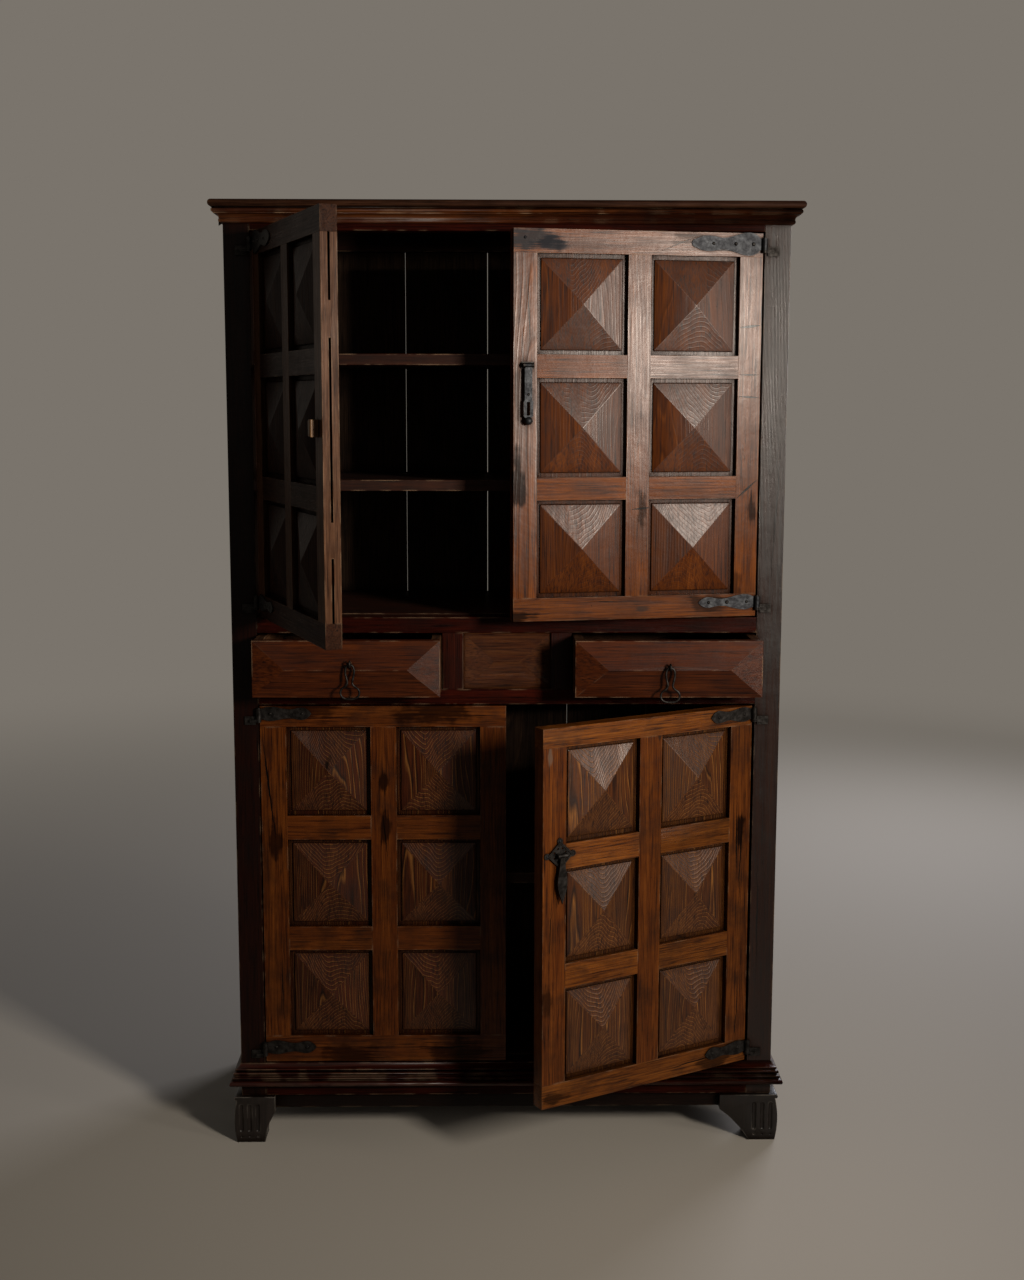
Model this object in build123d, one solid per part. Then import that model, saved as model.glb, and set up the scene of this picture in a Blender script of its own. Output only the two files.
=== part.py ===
from build123d import *
import os

# Joined cupboard of Iberian type: four posts tied by tenoned rails, grooved side panels, a boarded
# back, two doors above and two below a row of two drawers, and wrought iron hinges and furniture.
# Millimetres. +X is the cupboard's right as one faces it, the front looks along -Y, +Z is up.
# The origin is on the floor, midway between the sides, in the plane of the front posts' faces.

# ---- case -------------------------------------------------------------------------------------
case_width = 1100.0
case_depth = 455.0
post_width = 50.0
front_post_depth = 45.0
rear_post_depth = 40.0
foot_height = 98.0
base_rail_height = 71.0
lower_opening_height = 754.0
bearer_rail_height = 31.0
drawer_opening_height = 114.0
waist_rail_height = 32.0
upper_opening_height = 753.0
frieze_rail_height = 43.0
top_board_thickness = 14.0
rail_depth = 45.0
tenon_length = 20.0
tenon_thickness = 10.0
tenon_shoulder = 5.0

# ---- sides, back and boards -------------------------------------------------------------------
side_rail_thickness = 28.0
side_top_rail_height = 92.0
side_panel_thickness = 12.0
panel_groove_depth = 8.0
back_rail_thickness = 26.0
back_top_rail_height = 46.0
back_board_thickness = 14.0
back_board_lap = 30.0
back_first_board = 130.0
back_board_width = 181.0
back_board_gap = 1.2
floor_thickness = 18.0
floor_setback = 32.0
floor_lip = 4.0
shelf_thickness = 22.0
shelf_setback = 2.0
upper_shelf_height = 1620.0
middle_shelf_height = 1371.0
lower_shelf_height = 560.0
batten_size = 20.0

# ---- mouldings, feet and apron ----------------------------------------------------------------
board_projection = 25.0
board_edge_rounding = 6.3
cornice_ovolo_height = 8.0
cornice_ovolo_reach = 6.5
cornice_hollow_height = 10.0
cornice_hollow_reach = 13.0
cornice_bead_height = 9.0
cornice_bead_reach = 16.0
cornice_fillet_height = 1.5
base_moulding_rise = 26.0
base_torus_height = 11.0
base_torus_reach = 18.0
base_ledge_height = 1.5
base_lower_bead_height = 6.0
base_lower_bead_reach = 15.0
base_flat_height = 3.0
base_middle_bead_height = 7.0
base_middle_bead_reach = 12.0
base_upper_bead_height = 5.0
base_upper_bead_reach = 9.0
base_splay_height = 10.0
round_member_swell = 0.4
hollow_member_sink = 0.22
foot_width = 63.0
foot_depth = 60.0
foot_overhang = 15.0
foot_forward = 10.0
foot_bulge = 5.0
foot_bulge_height = 50.0
foot_cap_height = 8.0
foot_cap_rounding = 3.6
left_bracket_length = 22.0
right_bracket_length = 58.0
bracket_toe = 5.0
bracket_hollow = 4.0
bracket_thickness = 20.0
apron_height = 31.0
apron_thickness = 20.0
flute_count = 3
flute_pitch = 17.0
flute_radius = 5.0
flute_depth = 2.5
flute_top = 78.0
flute_bottom = 26.0
punch_radius = 2.4
punch_depth = 1.4
punch_drop = 9.0

# ---- drawers ----------------------------------------------------------------------------------
muntin_width = 42.0
centre_panel_width = 176.0
centre_panel_ridge = 50.0
centre_panel_rise = 12.0
centre_panel_setback = 5.0
drawer_side_gap = 2.0
drawer_top_gap = 2.0
drawer_running_gap = 0.4
drawer_front_thickness = 20.0
drawer_field_rise = 16.0
drawer_hip_length = 64.0
drawer_length = 390.0
drawer_side_thickness = 18.0
drawer_back_thickness = 14.0
drawer_bottom_thickness = 8.0
drawer_bottom_rise = 6.0
drawer_groove_depth = 6.0
left_drawer_out = 95.0
right_drawer_out = 100.0
runner_height = 24.0
runner_bearing = 20.0
guide_height = 22.0

# ---- doors ------------------------------------------------------------------------------------
door_thickness = 30.0
door_hinge_gap = 2.5
door_end_gap = 3.0
door_meeting_gap = 4.0
upper_stile_width = 46.0
upper_end_rail_height = 45.0
upper_cross_rail_height = 44.0
lower_stile_width = 52.0
lower_left_bottom_rail_height = 55.0
lower_left_top_rail_height = 43.0
lower_right_bottom_rail_height = 47.0
lower_right_top_rail_height = 38.0
lower_cross_rail_height = 50.0
door_tenon_length = 22.0
door_tenon_thickness = 9.0
tenon_gap = 1.0
panel_bays_across = 2
panel_bays_up = 3
panel_recess = 12.0
panel_thickness = 8.0
panel_tongue = 6.0
panel_border = 9.0
panel_shoulder = 3.0
panel_point = 7.0
upper_left_angle = 69.3
upper_right_angle = 11.2
lower_left_angle = 0.0
lower_right_angle = 29.8
edge_groove_width = 4.0
edge_groove_depth = 9.0
edge_block_height = 62.0
edge_block_spread = 186.0
knob_height = 30.0
knob_rounding = 3.0
knob_width = 14.0
knob_reach = 16.0
knob_drop = 4.0
knob_inset = 30.0

# ---- ironwork ---------------------------------------------------------------------------------
strap_thickness = 2.5
strap_lobe_inset = 22.0
strap_leaf_inset = 20.0
strap_finger_width = 15.0
wide_strap_length = 146.0
wide_strap_bar = 22.0
wide_strap_lobe = 41.0
wide_strap_leaf = 28.0
wide_strap_finger = 22.0
slim_strap_length = 121.0
slim_strap_bar = 14.0
slim_strap_lobe = 30.0
slim_strap_leaf = 21.0
lower_strap_length = 105.0
lower_strap_bar = 18.0
lower_strap_lobe = 29.0
lower_strap_leaf = 25.0
upper_top_strap_drop = 21.0
upper_bottom_strap_rise = 29.0
lower_top_strap_drop = 15.5
lower_bottom_strap_rise = 31.0
knuckle_radius = 5.5
knuckle_height = 22.0
knuckle_standoff = 0.5
pin_radius = 3.0
pin_clearance = 0.06
pin_end = 2.0
pintle_running_gap = 0.3
pintle_collar_radius = 5.0
pintle_collar_height = 5.0
pintle_plate_gap = 1.0
pintle_plate_width = 22.0
pintle_plate_thickness = 3.0
pintle_plate_margin = 6.0
pull_wire_radius = 2.1
pull_head_width = 17.0
pull_head_drop = 18.0
pull_neck_width = 10.0
pull_neck_drop = 36.0
pull_lobe_width = 37.0
pull_lobe_drop = 55.0
pull_foot_width = 24.0
pull_foot_rise = 1.5
pull_length = 67.0
eye_wire_radius = 1.8
eye_hole_radius = 3.9
eye_standoff = 8.0
eye_shank_end = 6.0
eye_rise = 6.0
left_eye_inset = 9.0
left_eye_rise = 6.0
hanging_gap = 0.3
hasp_length = 105.0
hasp_bar_width = 14.5
hasp_loop_width = 18.0
hasp_loop_rounding = 5.0
hasp_slot_width = 7.0
hasp_slot_length = 26.0
hasp_web = 4.0
hasp_thickness = 3.0
hasp_ball_radius = 8.0
hasp_height = 1595.0
hasp_inset = 27.0
barrel_radius = 4.5
barrel_length = 12.0
barrel_neck = 2.0
barrel_pin_radius = 2.0
ear_thickness = 4.0
ear_gap = 0.4
ear_plate_thickness = 2.5
ear_plate_margin = 2.0
barrel_standoff = 10.0
lozenge_inset = 37.5
lozenge_rise = 5.0
lozenge_half_width = 29.0
lozenge_half_height = 27.0
lozenge_rim_width = 5.0
lozenge_rim_thickness = 4.5
lozenge_lobe_radius = 6.0
pierced_hole_radius = 2.2
pierced_hole_circle = 13.5
pierced_hole_count = 8
pendant_length = 94.0
pendant_root_width = 9.0
pendant_width = 20.5
pendant_belly_drop = 58.0
pendant_thickness = 4.0

# ---- levels and planes that follow ------------------------------------------------------------
half_width = case_width / 2
inner_half = half_width - post_width
base_rail_top = foot_height + base_rail_height
lower_opening_top = base_rail_top + lower_opening_height
drawer_opening_bottom = lower_opening_top + bearer_rail_height
drawer_opening_top = drawer_opening_bottom + drawer_opening_height
waist_rail_top = drawer_opening_top + waist_rail_height
upper_opening_top = waist_rail_top + upper_opening_height
case_top = upper_opening_top + frieze_rail_height
total_height = case_top + top_board_thickness
rear_post_front = case_depth - rear_post_depth
back_plane = case_depth - back_board_thickness
back_rail_front = back_plane - back_rail_thickness
lower_floor_top = base_rail_top + floor_lip
upper_floor_top = waist_rail_top + floor_lip
panel_plane = half_width - side_rail_thickness / 2
side_inside = panel_plane - side_panel_thickness / 2
muntin_inner = centre_panel_width / 2
muntin_outer = muntin_inner + muntin_width
hinge_y = -(knuckle_radius + knuckle_standoff)
hinge_x = inner_half - door_hinge_gap / 2
door_width = inner_half - door_hinge_gap - door_meeting_gap / 2
foot_outer = half_width + foot_overhang
foot_inner = foot_outer - foot_width


def block(x0, x1, y0, y1, z0, z1):
    """A squared timber between two opposite corners."""
    middle = Vector((x0 + x1) / 2, (y0 + y1) / 2, (z0 + z1) / 2)
    return Location(middle) * Box(abs(x1 - x0), abs(y1 - y0), abs(z1 - z0))


def mirrored(shape):
    """The same piece for the other side of the cupboard."""
    return mirror(shape, about=Plane.YZ)


def both_sides(shape):
    return [shape, mirrored(shape)]


def cut_by(shape, cutters):
    """A timber with its mortises, grooves and notches, cut to the very pieces that enter them."""
    for cutter in cutters:
        shape = shape - cutter
    return shape


def solids_of(*shapes):
    """Separate solids as one group."""
    found = []
    for shape in shapes:
        found.extend(shape.solids())
    return Compound(children=found)


def hipped_field(x0, x1, z0, z1, base_y, rise, ridge):
    """A raised field on the plane base_y: four slopes up to a ridge, or to a point if ridge is 0."""
    middle_x = (x0 + x1) / 2
    middle_z = (z0 + z1) / 2
    tip_y = base_y - rise
    if ridge > 0:
        plan_points = [
            (x0, base_y),
            (x1, base_y),
            (middle_x + ridge / 2, tip_y),
            (middle_x - ridge / 2, tip_y),
        ]
    else:
        plan_points = [(x0, base_y), (x1, base_y), (middle_x, tip_y)]
    plan = make_face(Polyline(*plan_points, close=True))
    across = Location((0, 0, z0)) * extrude(plan, z1 - z0)
    side_points = [(base_y, z0), (base_y, z1), (tip_y, middle_z)]
    side = Plane.YZ * make_face(Polyline(*side_points, close=True))
    upright = Location((x0, 0, 0)) * extrude(side, x1 - x0)
    return across & upright


# ---- case frame -------------------------------------------------------------------------------


def post_block(y0, y1):
    """A right post before its mortises are cut, from the feet to the top board."""
    return block(inner_half, half_width, y0, y1, foot_height, case_top)


def rail_with_tenons(x_end, y0, y1, z0, z1):
    """A rail between two posts or muntins at -x_end and x_end, tenoned into both."""
    rail = block(-x_end, x_end, y0, y1, z0, z1)
    middle = (y0 + y1) / 2
    half = tenon_thickness / 2
    reach = x_end + tenon_length
    tenon_low = z0 + tenon_shoulder
    tenon_high = z1 - tenon_shoulder
    return rail + block(-reach, reach, middle - half, middle + half, tenon_low, tenon_high)


def side_rail(z0, z1):
    """A right side rail between the front and rear posts, flush outside, tenoned into both."""
    inner = half_width - side_rail_thickness
    rail = block(inner, half_width, front_post_depth, rear_post_front, z0, z1)
    half = tenon_thickness / 2
    tenon = block(
        panel_plane - half,
        panel_plane + half,
        front_post_depth - tenon_length,
        rear_post_front + tenon_length,
        z0 + tenon_shoulder,
        z1 - tenon_shoulder,
    )
    return rail + tenon


def side_panel(z0, z1):
    """A right side panel whose edges enter grooves in the rails and posts."""
    half = side_panel_thickness / 2
    return block(
        panel_plane - half,
        panel_plane + half,
        front_post_depth - panel_groove_depth,
        rear_post_front + panel_groove_depth,
        z0 - panel_groove_depth,
        z1 + panel_groove_depth,
    )


base_rail_solid = rail_with_tenons(inner_half, 0, rail_depth, foot_height, base_rail_top)
bearer_rail_solid = rail_with_tenons(inner_half, 0, rail_depth, lower_opening_top, drawer_opening_bottom)
waist_rail_solid = rail_with_tenons(inner_half, 0, rail_depth, drawer_opening_top, waist_rail_top)
frieze_rail_solid = rail_with_tenons(inner_half, 0, rail_depth, upper_opening_top, case_top)
front_rail_solids = [base_rail_solid, bearer_rail_solid, waist_rail_solid, frieze_rail_solid]

lower_floor_under = lower_floor_top - floor_thickness
upper_floor_under = upper_floor_top - floor_thickness
side_rail_solids = [
    side_rail(foot_height, lower_floor_under),
    side_rail(lower_opening_top, upper_floor_under),
    side_rail(case_top - side_top_rail_height, case_top),
]
side_panel_solids = [
    side_panel(lower_floor_under, lower_opening_top),
    side_panel(upper_floor_under, case_top - side_top_rail_height),
]
back_rail_solids = [
    rail_with_tenons(inner_half, back_rail_front, back_plane, foot_height, lower_floor_under),
    rail_with_tenons(inner_half, back_rail_front, back_plane, lower_opening_top, upper_floor_under),
    rail_with_tenons(inner_half, back_rail_front, back_plane, case_top - back_top_rail_height, case_top),
]

back_half = inner_half + back_board_lap


def back_board_solids():
    """Upright boards of one width across the back, after a narrower first one."""
    boards = []
    start = -back_half
    end = start + back_first_board
    while start < back_half:
        last = back_half - end < back_board_width / 2
        stop = back_half if last else end
        edge = stop if last else stop - back_board_gap
        boards.append(block(start, edge, back_plane, case_depth, foot_height, case_top))
        start = stop
        end = stop + back_board_width
    return boards


back_boards = back_board_solids()
front_post_solid = post_block(0, front_post_depth)
front_post_solid = cut_by(front_post_solid, front_rail_solids + side_rail_solids + side_panel_solids)
rear_post_solid = post_block(rear_post_front, case_depth)
rebate = block(0, back_half, back_plane, case_depth, foot_height, case_top)
rear_post_solid = cut_by(rear_post_solid, back_rail_solids + side_rail_solids + side_panel_solids + [rebate])
side_rail_solids = [cut_by(rail, side_panel_solids) for rail in side_rail_solids]


def floor_board(top):
    """A bottom board: a lip behind the doors in front, notched round the posts, up to the back."""
    board = block(-side_inside, side_inside, floor_setback, back_plane, top - floor_thickness, top)
    for post in both_sides(post_block(0, front_post_depth)):
        board = board - post
    for post in both_sides(post_block(rear_post_front, case_depth)):
        board = board - post
    return board


def shelf_board(top):
    """A shelf behind the front posts, notched round the rear posts, up to the back."""
    front = front_post_depth + shelf_setback
    board = block(-side_inside, side_inside, front, back_plane, top - shelf_thickness, top)
    for post in both_sides(post_block(rear_post_front, case_depth)):
        board = board - post
    return board


def shelf_battens(top):
    """The two battens that carry a shelf's ends."""
    under = top - shelf_thickness
    batten = block(
        side_inside - batten_size,
        side_inside,
        front_post_depth,
        rear_post_front,
        under - batten_size,
        under,
    )
    return both_sides(batten)


lower_floor_solid = floor_board(lower_floor_top)
upper_floor_solid = floor_board(upper_floor_top)
base_rail_solid = base_rail_solid - lower_floor_solid
waist_rail_solid = waist_rail_solid - upper_floor_solid

# ---- drawer row -------------------------------------------------------------------------------


def drawer_muntin():
    """The right upright between a drawer and the centre panel, tenoned into both rails."""
    upright = block(muntin_inner, muntin_outer, 0, rail_depth, drawer_opening_bottom, drawer_opening_top)
    middle = rail_depth / 2
    half = tenon_thickness / 2
    tenon = block(
        muntin_inner + tenon_shoulder,
        muntin_outer - tenon_shoulder,
        middle - half,
        middle + half,
        drawer_opening_bottom - tenon_length / 2,
        drawer_opening_top + tenon_length / 2,
    )
    return upright + tenon


def centre_panel():
    """The fixed hipped panel between the muntins, its tongues in grooves all round."""
    tongue = block(
        -muntin_inner - panel_tongue,
        muntin_inner + panel_tongue,
        centre_panel_setback,
        centre_panel_setback + panel_thickness,
        drawer_opening_bottom - panel_tongue,
        drawer_opening_top + panel_tongue,
    )
    field = hipped_field(
        -muntin_inner + panel_shoulder,
        muntin_inner - panel_shoulder,
        drawer_opening_bottom + panel_shoulder,
        drawer_opening_top - panel_shoulder,
        centre_panel_setback,
        centre_panel_rise,
        centre_panel_ridge,
    )
    return tongue + field


def drawer_runner(x_outer, x_guide, x_inner):
    """A runner: the drawer side slides on its ledge, and its fence guides the side's outer face."""
    fence_top = drawer_opening_bottom + guide_height
    ledge_bottom = drawer_opening_bottom - runner_height
    outline = Polyline(
        (x_outer, ledge_bottom),
        (x_inner, ledge_bottom),
        (x_inner, drawer_opening_bottom),
        (x_guide, drawer_opening_bottom),
        (x_guide, fence_top),
        (x_outer, fence_top),
        close=True,
    )
    section = Plane.XZ * make_face(outline)
    return extrude(section, -(back_rail_front - rail_depth)).moved(Location((0, rail_depth, 0)))


muntin_solid = drawer_muntin()
centre_panel_solid = centre_panel()
row_pieces = both_sides(muntin_solid) + [centre_panel_solid]
bearer_rail_solid = cut_by(bearer_rail_solid, row_pieces)
waist_rail_solid = cut_by(waist_rail_solid, row_pieces)
muntin_solid = muntin_solid - centre_panel_solid
side_rail_inside = half_width - side_rail_thickness
outer_runner = drawer_runner(side_rail_inside, inner_half, inner_half - runner_bearing)
inner_runner = drawer_runner(muntin_inner, muntin_outer, muntin_outer + runner_bearing)

drawer_left = muntin_outer + drawer_side_gap
drawer_right = inner_half - drawer_side_gap
drawer_bottom = drawer_opening_bottom + drawer_running_gap
drawer_top = drawer_opening_top - drawer_top_gap
drawer_middle = (drawer_left + drawer_right) / 2
ridge_height = (drawer_bottom + drawer_top) / 2
eye_y = -drawer_field_rise - eye_standoff
eye_z = ridge_height + eye_rise


def drawer_front():
    """A solid front whose face is cut to a hipped field, the ridge along its middle."""
    slab = block(drawer_left, drawer_right, 0, drawer_front_thickness, drawer_bottom, drawer_top)
    ridge = drawer_right - drawer_left - 2 * drawer_hip_length
    return slab + hipped_field(
        drawer_left, drawer_right, drawer_bottom, drawer_top, 0, drawer_field_rise, ridge
    )


def drawer_bottom_board():
    bottom = drawer_bottom + drawer_bottom_rise
    inset = drawer_side_thickness - drawer_groove_depth
    return block(
        drawer_left + inset,
        drawer_right - inset,
        drawer_front_thickness - drawer_groove_depth,
        drawer_length - drawer_back_thickness,
        bottom,
        bottom + drawer_bottom_thickness,
    )


def drawer_sides_and_back(bottom_board):
    """Two sides and a back behind the front, grooved for the bottom board."""
    top = drawer_top - drawer_top_gap
    left = block(
        drawer_left,
        drawer_left + drawer_side_thickness,
        drawer_front_thickness,
        drawer_length,
        drawer_bottom,
        top,
    )
    right = block(
        drawer_right - drawer_side_thickness,
        drawer_right,
        drawer_front_thickness,
        drawer_length,
        drawer_bottom,
        top,
    )
    back = block(
        drawer_left + drawer_side_thickness,
        drawer_right - drawer_side_thickness,
        drawer_length - drawer_back_thickness,
        drawer_length,
        drawer_bottom,
        top,
    )
    return [left - bottom_board, right - bottom_board, back]


def pull_eye():
    """The cotter pin: a ring, on whose lower inside the loop hangs, and a shank through the front."""
    ring_z = eye_z + eye_hole_radius - pull_wire_radius - hanging_gap
    ring = Torus(eye_hole_radius + eye_wire_radius, eye_wire_radius)
    ring = Location((drawer_middle, eye_y, ring_z), (0, 90, 0)) * ring
    shank_start = eye_y + eye_hole_radius + eye_wire_radius
    shank_end = drawer_front_thickness + eye_shank_end
    shank = Cylinder(eye_wire_radius, shank_end - shank_start)
    middle = (shank_start + shank_end) / 2
    shank = Location((drawer_middle, middle, ring_z), (90, 0, 0)) * shank
    return ring + shank


def pull_loop():
    """A gourd-shaped loop of round iron that hangs in its eye and swings about it."""
    right = Spline(
        (0, 0),
        (pull_head_width / 2, -pull_head_drop),
        (pull_neck_width / 2, -pull_neck_drop),
        (pull_lobe_width / 2, -pull_lobe_drop),
        (pull_foot_width / 2, pull_foot_rise - pull_length),
        (0, -pull_length),
        tangents=[(1, 0), (-1, 0)],
    )
    outline = right + mirror(right, about=Plane.YZ)
    hanging = (Plane.XZ * make_face(outline)).moved(Location((drawer_middle, eye_y, eye_z)))
    path = hanging.face().outer_wire()
    start = path.edges().sort_by(Axis.Z)[0]
    section = Plane(origin=start @ 0.5, z_dir=start % 0.5) * Circle(pull_wire_radius)
    return sweep(section, path=path)


bottom_board_solid = drawer_bottom_board()
drawer_front_solid = drawer_front() - bottom_board_solid
eye_solid = pull_eye()


def place_drawer(shape, side, out):
    """A right drawer piece drawn out by its distance, or its mirror image on the left."""
    placed = shape if side > 0 else mirrored(shape)
    return Location((0, -out, 0)) * placed


# ---- mouldings, top, feet and apron ------------------------------------------------------------


def mitred_lengths(profile):
    """A moulding round the front and both sides, mitred at the front corners.

    The profile lies in the YZ plane, with the case face at y = 0 and the outside at -y.
    """
    projection = board_projection
    reach = half_width + projection
    overrun = case_depth + reach
    straight = Location((-overrun, 0, 0)) * extrude(Plane.YZ * profile, 2 * overrun)
    front_plan = make_face(
        Polyline(
            (-half_width, 0),
            (half_width, 0),
            (reach, -projection),
            (-reach, -projection),
            close=True,
        )
    )
    side_plan = make_face(
        Polyline(
            (half_width, 0),
            (reach, -projection),
            (reach, case_depth),
            (half_width, case_depth),
            close=True,
        )
    )
    front = straight & extrude(front_plan, 2 * total_height)
    turned = Location((half_width, 0, 0)) * straight.rotate(Axis.Z, 90)
    right = turned & extrude(side_plan, 2 * total_height)
    return [front, right, mirrored(right)]


def moulding_profile(bottom, members):
    """A moulding's section, from the bottom up, of members of a kind, a height and two reaches.

    A round member swells out between its lower and upper reach, a hollow one is scooped, a flat
    one runs straight.
    """
    swell = {"round": round_member_swell, "hollow": -hollow_member_sink, "flat": 0}
    start = (0, bottom)
    section = []
    for kind, height, lower_reach, upper_reach in members:
        low = (-lower_reach, bottom)
        middle = (-(lower_reach + upper_reach) / 2 - swell[kind] * height, bottom + height / 2)
        high = (-upper_reach, bottom + height)
        if start != low:
            section.append(Line(start, low))
        section.append(Line(low, high) if kind == "flat" else ThreePointArc(low, middle, high))
        start = high
        bottom = bottom + height
    section.append(Polyline(start, (0, bottom), (0, bottom - sum(member[1] for member in members))))
    return make_face(section)


def cornice_profile():
    """Bed mould under the top board: an ovolo, a hollow and a bead, with fillets between."""
    members = [
        ("round", cornice_ovolo_height, cornice_fillet_height, cornice_ovolo_reach),
        ("hollow", cornice_hollow_height, cornice_ovolo_reach, cornice_hollow_reach),
        ("flat", cornice_fillet_height, cornice_bead_reach, cornice_bead_reach),
        ("round", cornice_bead_height, cornice_bead_reach, cornice_bead_reach),
        ("flat", cornice_fillet_height, cornice_hollow_reach, cornice_hollow_reach),
    ]
    height = sum(member[1] for member in members)
    return moulding_profile(case_top - height, members)


def base_profile():
    """Base mould: a torus at the bottom, three beads and a splay running up into the case."""
    members = [
        ("round", base_torus_height, base_torus_reach, base_torus_reach),
        ("flat", base_ledge_height, base_lower_bead_reach, base_lower_bead_reach),
        ("round", base_lower_bead_height, base_lower_bead_reach, base_lower_bead_reach),
        ("flat", base_flat_height, base_middle_bead_reach, base_middle_bead_reach),
        ("round", base_middle_bead_height, base_middle_bead_reach, base_middle_bead_reach),
        ("flat", base_ledge_height, base_upper_bead_reach, base_upper_bead_reach),
        ("round", base_upper_bead_height, base_upper_bead_reach, base_upper_bead_reach),
        ("hollow", base_splay_height, base_upper_bead_reach, base_ledge_height),
    ]
    return moulding_profile(foot_height + base_moulding_rise, members)


def top_board():
    """The top board, its front and side edges rounded to a torus."""
    reach = half_width + board_projection
    board = block(-reach, reach, -board_projection, case_depth, case_top, total_height)
    rounded = []
    for edge in board.edges().filter_by(Axis.X).group_by(Axis.Y)[0]:
        rounded.append(edge)
    for edge in board.edges().filter_by(Axis.Y):
        rounded.append(edge)
    return fillet(rounded, board_edge_rounding)


def foot_outline():
    """Front view of a right foot: convex outside, upright inside."""
    neck = foot_height - foot_cap_height
    side = foot_outer - foot_bulge
    bulge = ThreePointArc((side, 0), (foot_outer, foot_bulge_height), (side, neck))
    rest = Polyline((side, neck), (foot_inner, neck), (foot_inner, 0), (side, 0))
    return make_face(bulge + rest)


def foot(y0, y1):
    """A right foot between two depths, with its rounded cap."""
    body = extrude(Plane.XZ * foot_outline(), -(y1 - y0)).moved(Location((0, y0, 0)))
    cap = block(foot_inner, foot_outer, y0, y1, foot_height - foot_cap_height, foot_height)
    upright_edges = cap.edges().filter_by(Axis.Y).group_by(Axis.X)[-1]
    cap = fillet(upright_edges, foot_cap_rounding)
    return body + cap


def stopped_flute(x, face_y):
    """The gouge cut of one flute in a foot's face, round at both ends."""
    centre_y = face_y + flute_depth - flute_radius
    middle = (flute_top + flute_bottom) / 2
    cut = Location((x, centre_y, middle)) * Cylinder(flute_radius, flute_top - flute_bottom)
    for end in (flute_top, flute_bottom):
        cut = cut + Location((x, centre_y, end)) * Sphere(flute_radius)
    return cut


def punch_mark(x, z, face_y):
    """The dent of a round punch in a foot's face."""
    return Location((x, face_y + punch_depth - punch_radius, z)) * Sphere(punch_radius)


def front_foot(bracket_length):
    """A right front foot with a fluted face and a slanting bracket from the apron to its toe."""
    y0 = -foot_forward
    shape = foot(y0, y0 + foot_depth)
    apron_bottom = foot_height - apron_height
    tip = (foot_inner - bracket_length, apron_bottom)
    toe = (foot_inner, bracket_toe)
    middle = ((tip[0] + toe[0]) / 2 + bracket_hollow / 2, (tip[1] + toe[1]) / 2 + bracket_hollow)
    edge = Polyline(toe, (foot_inner, foot_height), (tip[0], foot_height), tip)
    bracket = extrude(Plane.XZ * make_face(ThreePointArc(tip, middle, toe) + edge), -bracket_thickness)
    shape = shape + bracket.moved(Location((0, y0, 0)))
    for index in range(flute_count):
        x = (foot_inner + foot_outer) / 2 + (index - (flute_count - 1) / 2) * flute_pitch
        shape = shape - stopped_flute(x, y0)
        shape = shape - punch_mark(x, flute_bottom - flute_radius - punch_drop, y0)
    return shape


right_foot_solid = front_foot(right_bracket_length)
left_foot_solid = mirrored(front_foot(left_bracket_length))
rear_foot_solid = foot(case_depth - foot_depth, case_depth)
bracket_back = bracket_thickness - foot_forward
apron_solid = block(
    -foot_inner,
    foot_inner,
    bracket_back,
    bracket_back + apron_thickness,
    foot_height - apron_height,
    foot_height,
)

# ---- doors ------------------------------------------------------------------------------------


def door_frame(bottom, top, stile, low_rail, cross_rail, high_rail):
    """A closed right door: uprights, rails and panels, each piece cut to those that enter it.

    The end rails run the full width. Stiles and muntin are tenoned into them, and the short cross
    rails into stiles and muntin.
    """
    x1 = inner_half - door_hinge_gap
    x0 = x1 - door_width
    low = bottom + low_rail
    high = top - high_rail
    middle_y = door_thickness / 2
    half = door_tenon_thickness / 2
    bay_width = (door_width - 3 * stile) / panel_bays_across
    bay_height = (high - low - (panel_bays_up - 1) * cross_rail) / panel_bays_up

    uprights = []
    for index in range(panel_bays_across + 1):
        left = x0 + index * (stile + bay_width)
        upright = block(left, left + stile, 0, door_thickness, low, high)
        tenon = block(
            left + tenon_shoulder,
            left + stile - tenon_shoulder,
            middle_y - half,
            middle_y + half,
            low - door_tenon_length,
            high + door_tenon_length,
        )
        uprights.append(upright + tenon)

    cross_rails = []
    panels = []
    reach = min(door_tenon_length, stile / 2 - tenon_gap)
    for column in range(panel_bays_across):
        left = x0 + stile + column * (stile + bay_width)
        for row in range(panel_bays_up):
            base = low + row * (bay_height + cross_rail)
            panels.append(door_panel(left, left + bay_width, base, base + bay_height))
            if row == panel_bays_up - 1:
                continue
            rail_low = base + bay_height
            rail = block(left, left + bay_width, 0, door_thickness, rail_low, rail_low + cross_rail)
            tenon = block(
                left - reach,
                left + bay_width + reach,
                middle_y - half,
                middle_y + half,
                rail_low + tenon_shoulder,
                rail_low + cross_rail - tenon_shoulder,
            )
            cross_rails.append(rail + tenon)

    end_rails = [
        block(x0, x1, 0, door_thickness, bottom, low),
        block(x0, x1, 0, door_thickness, high, top),
    ]
    end_rails = [cut_by(rail, uprights + panels) for rail in end_rails]
    uprights = [cut_by(upright, cross_rails + panels) for upright in uprights]
    cross_rails = [cut_by(rail, panels) for rail in cross_rails]
    return uprights, end_rails + cross_rails, panels


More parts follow.
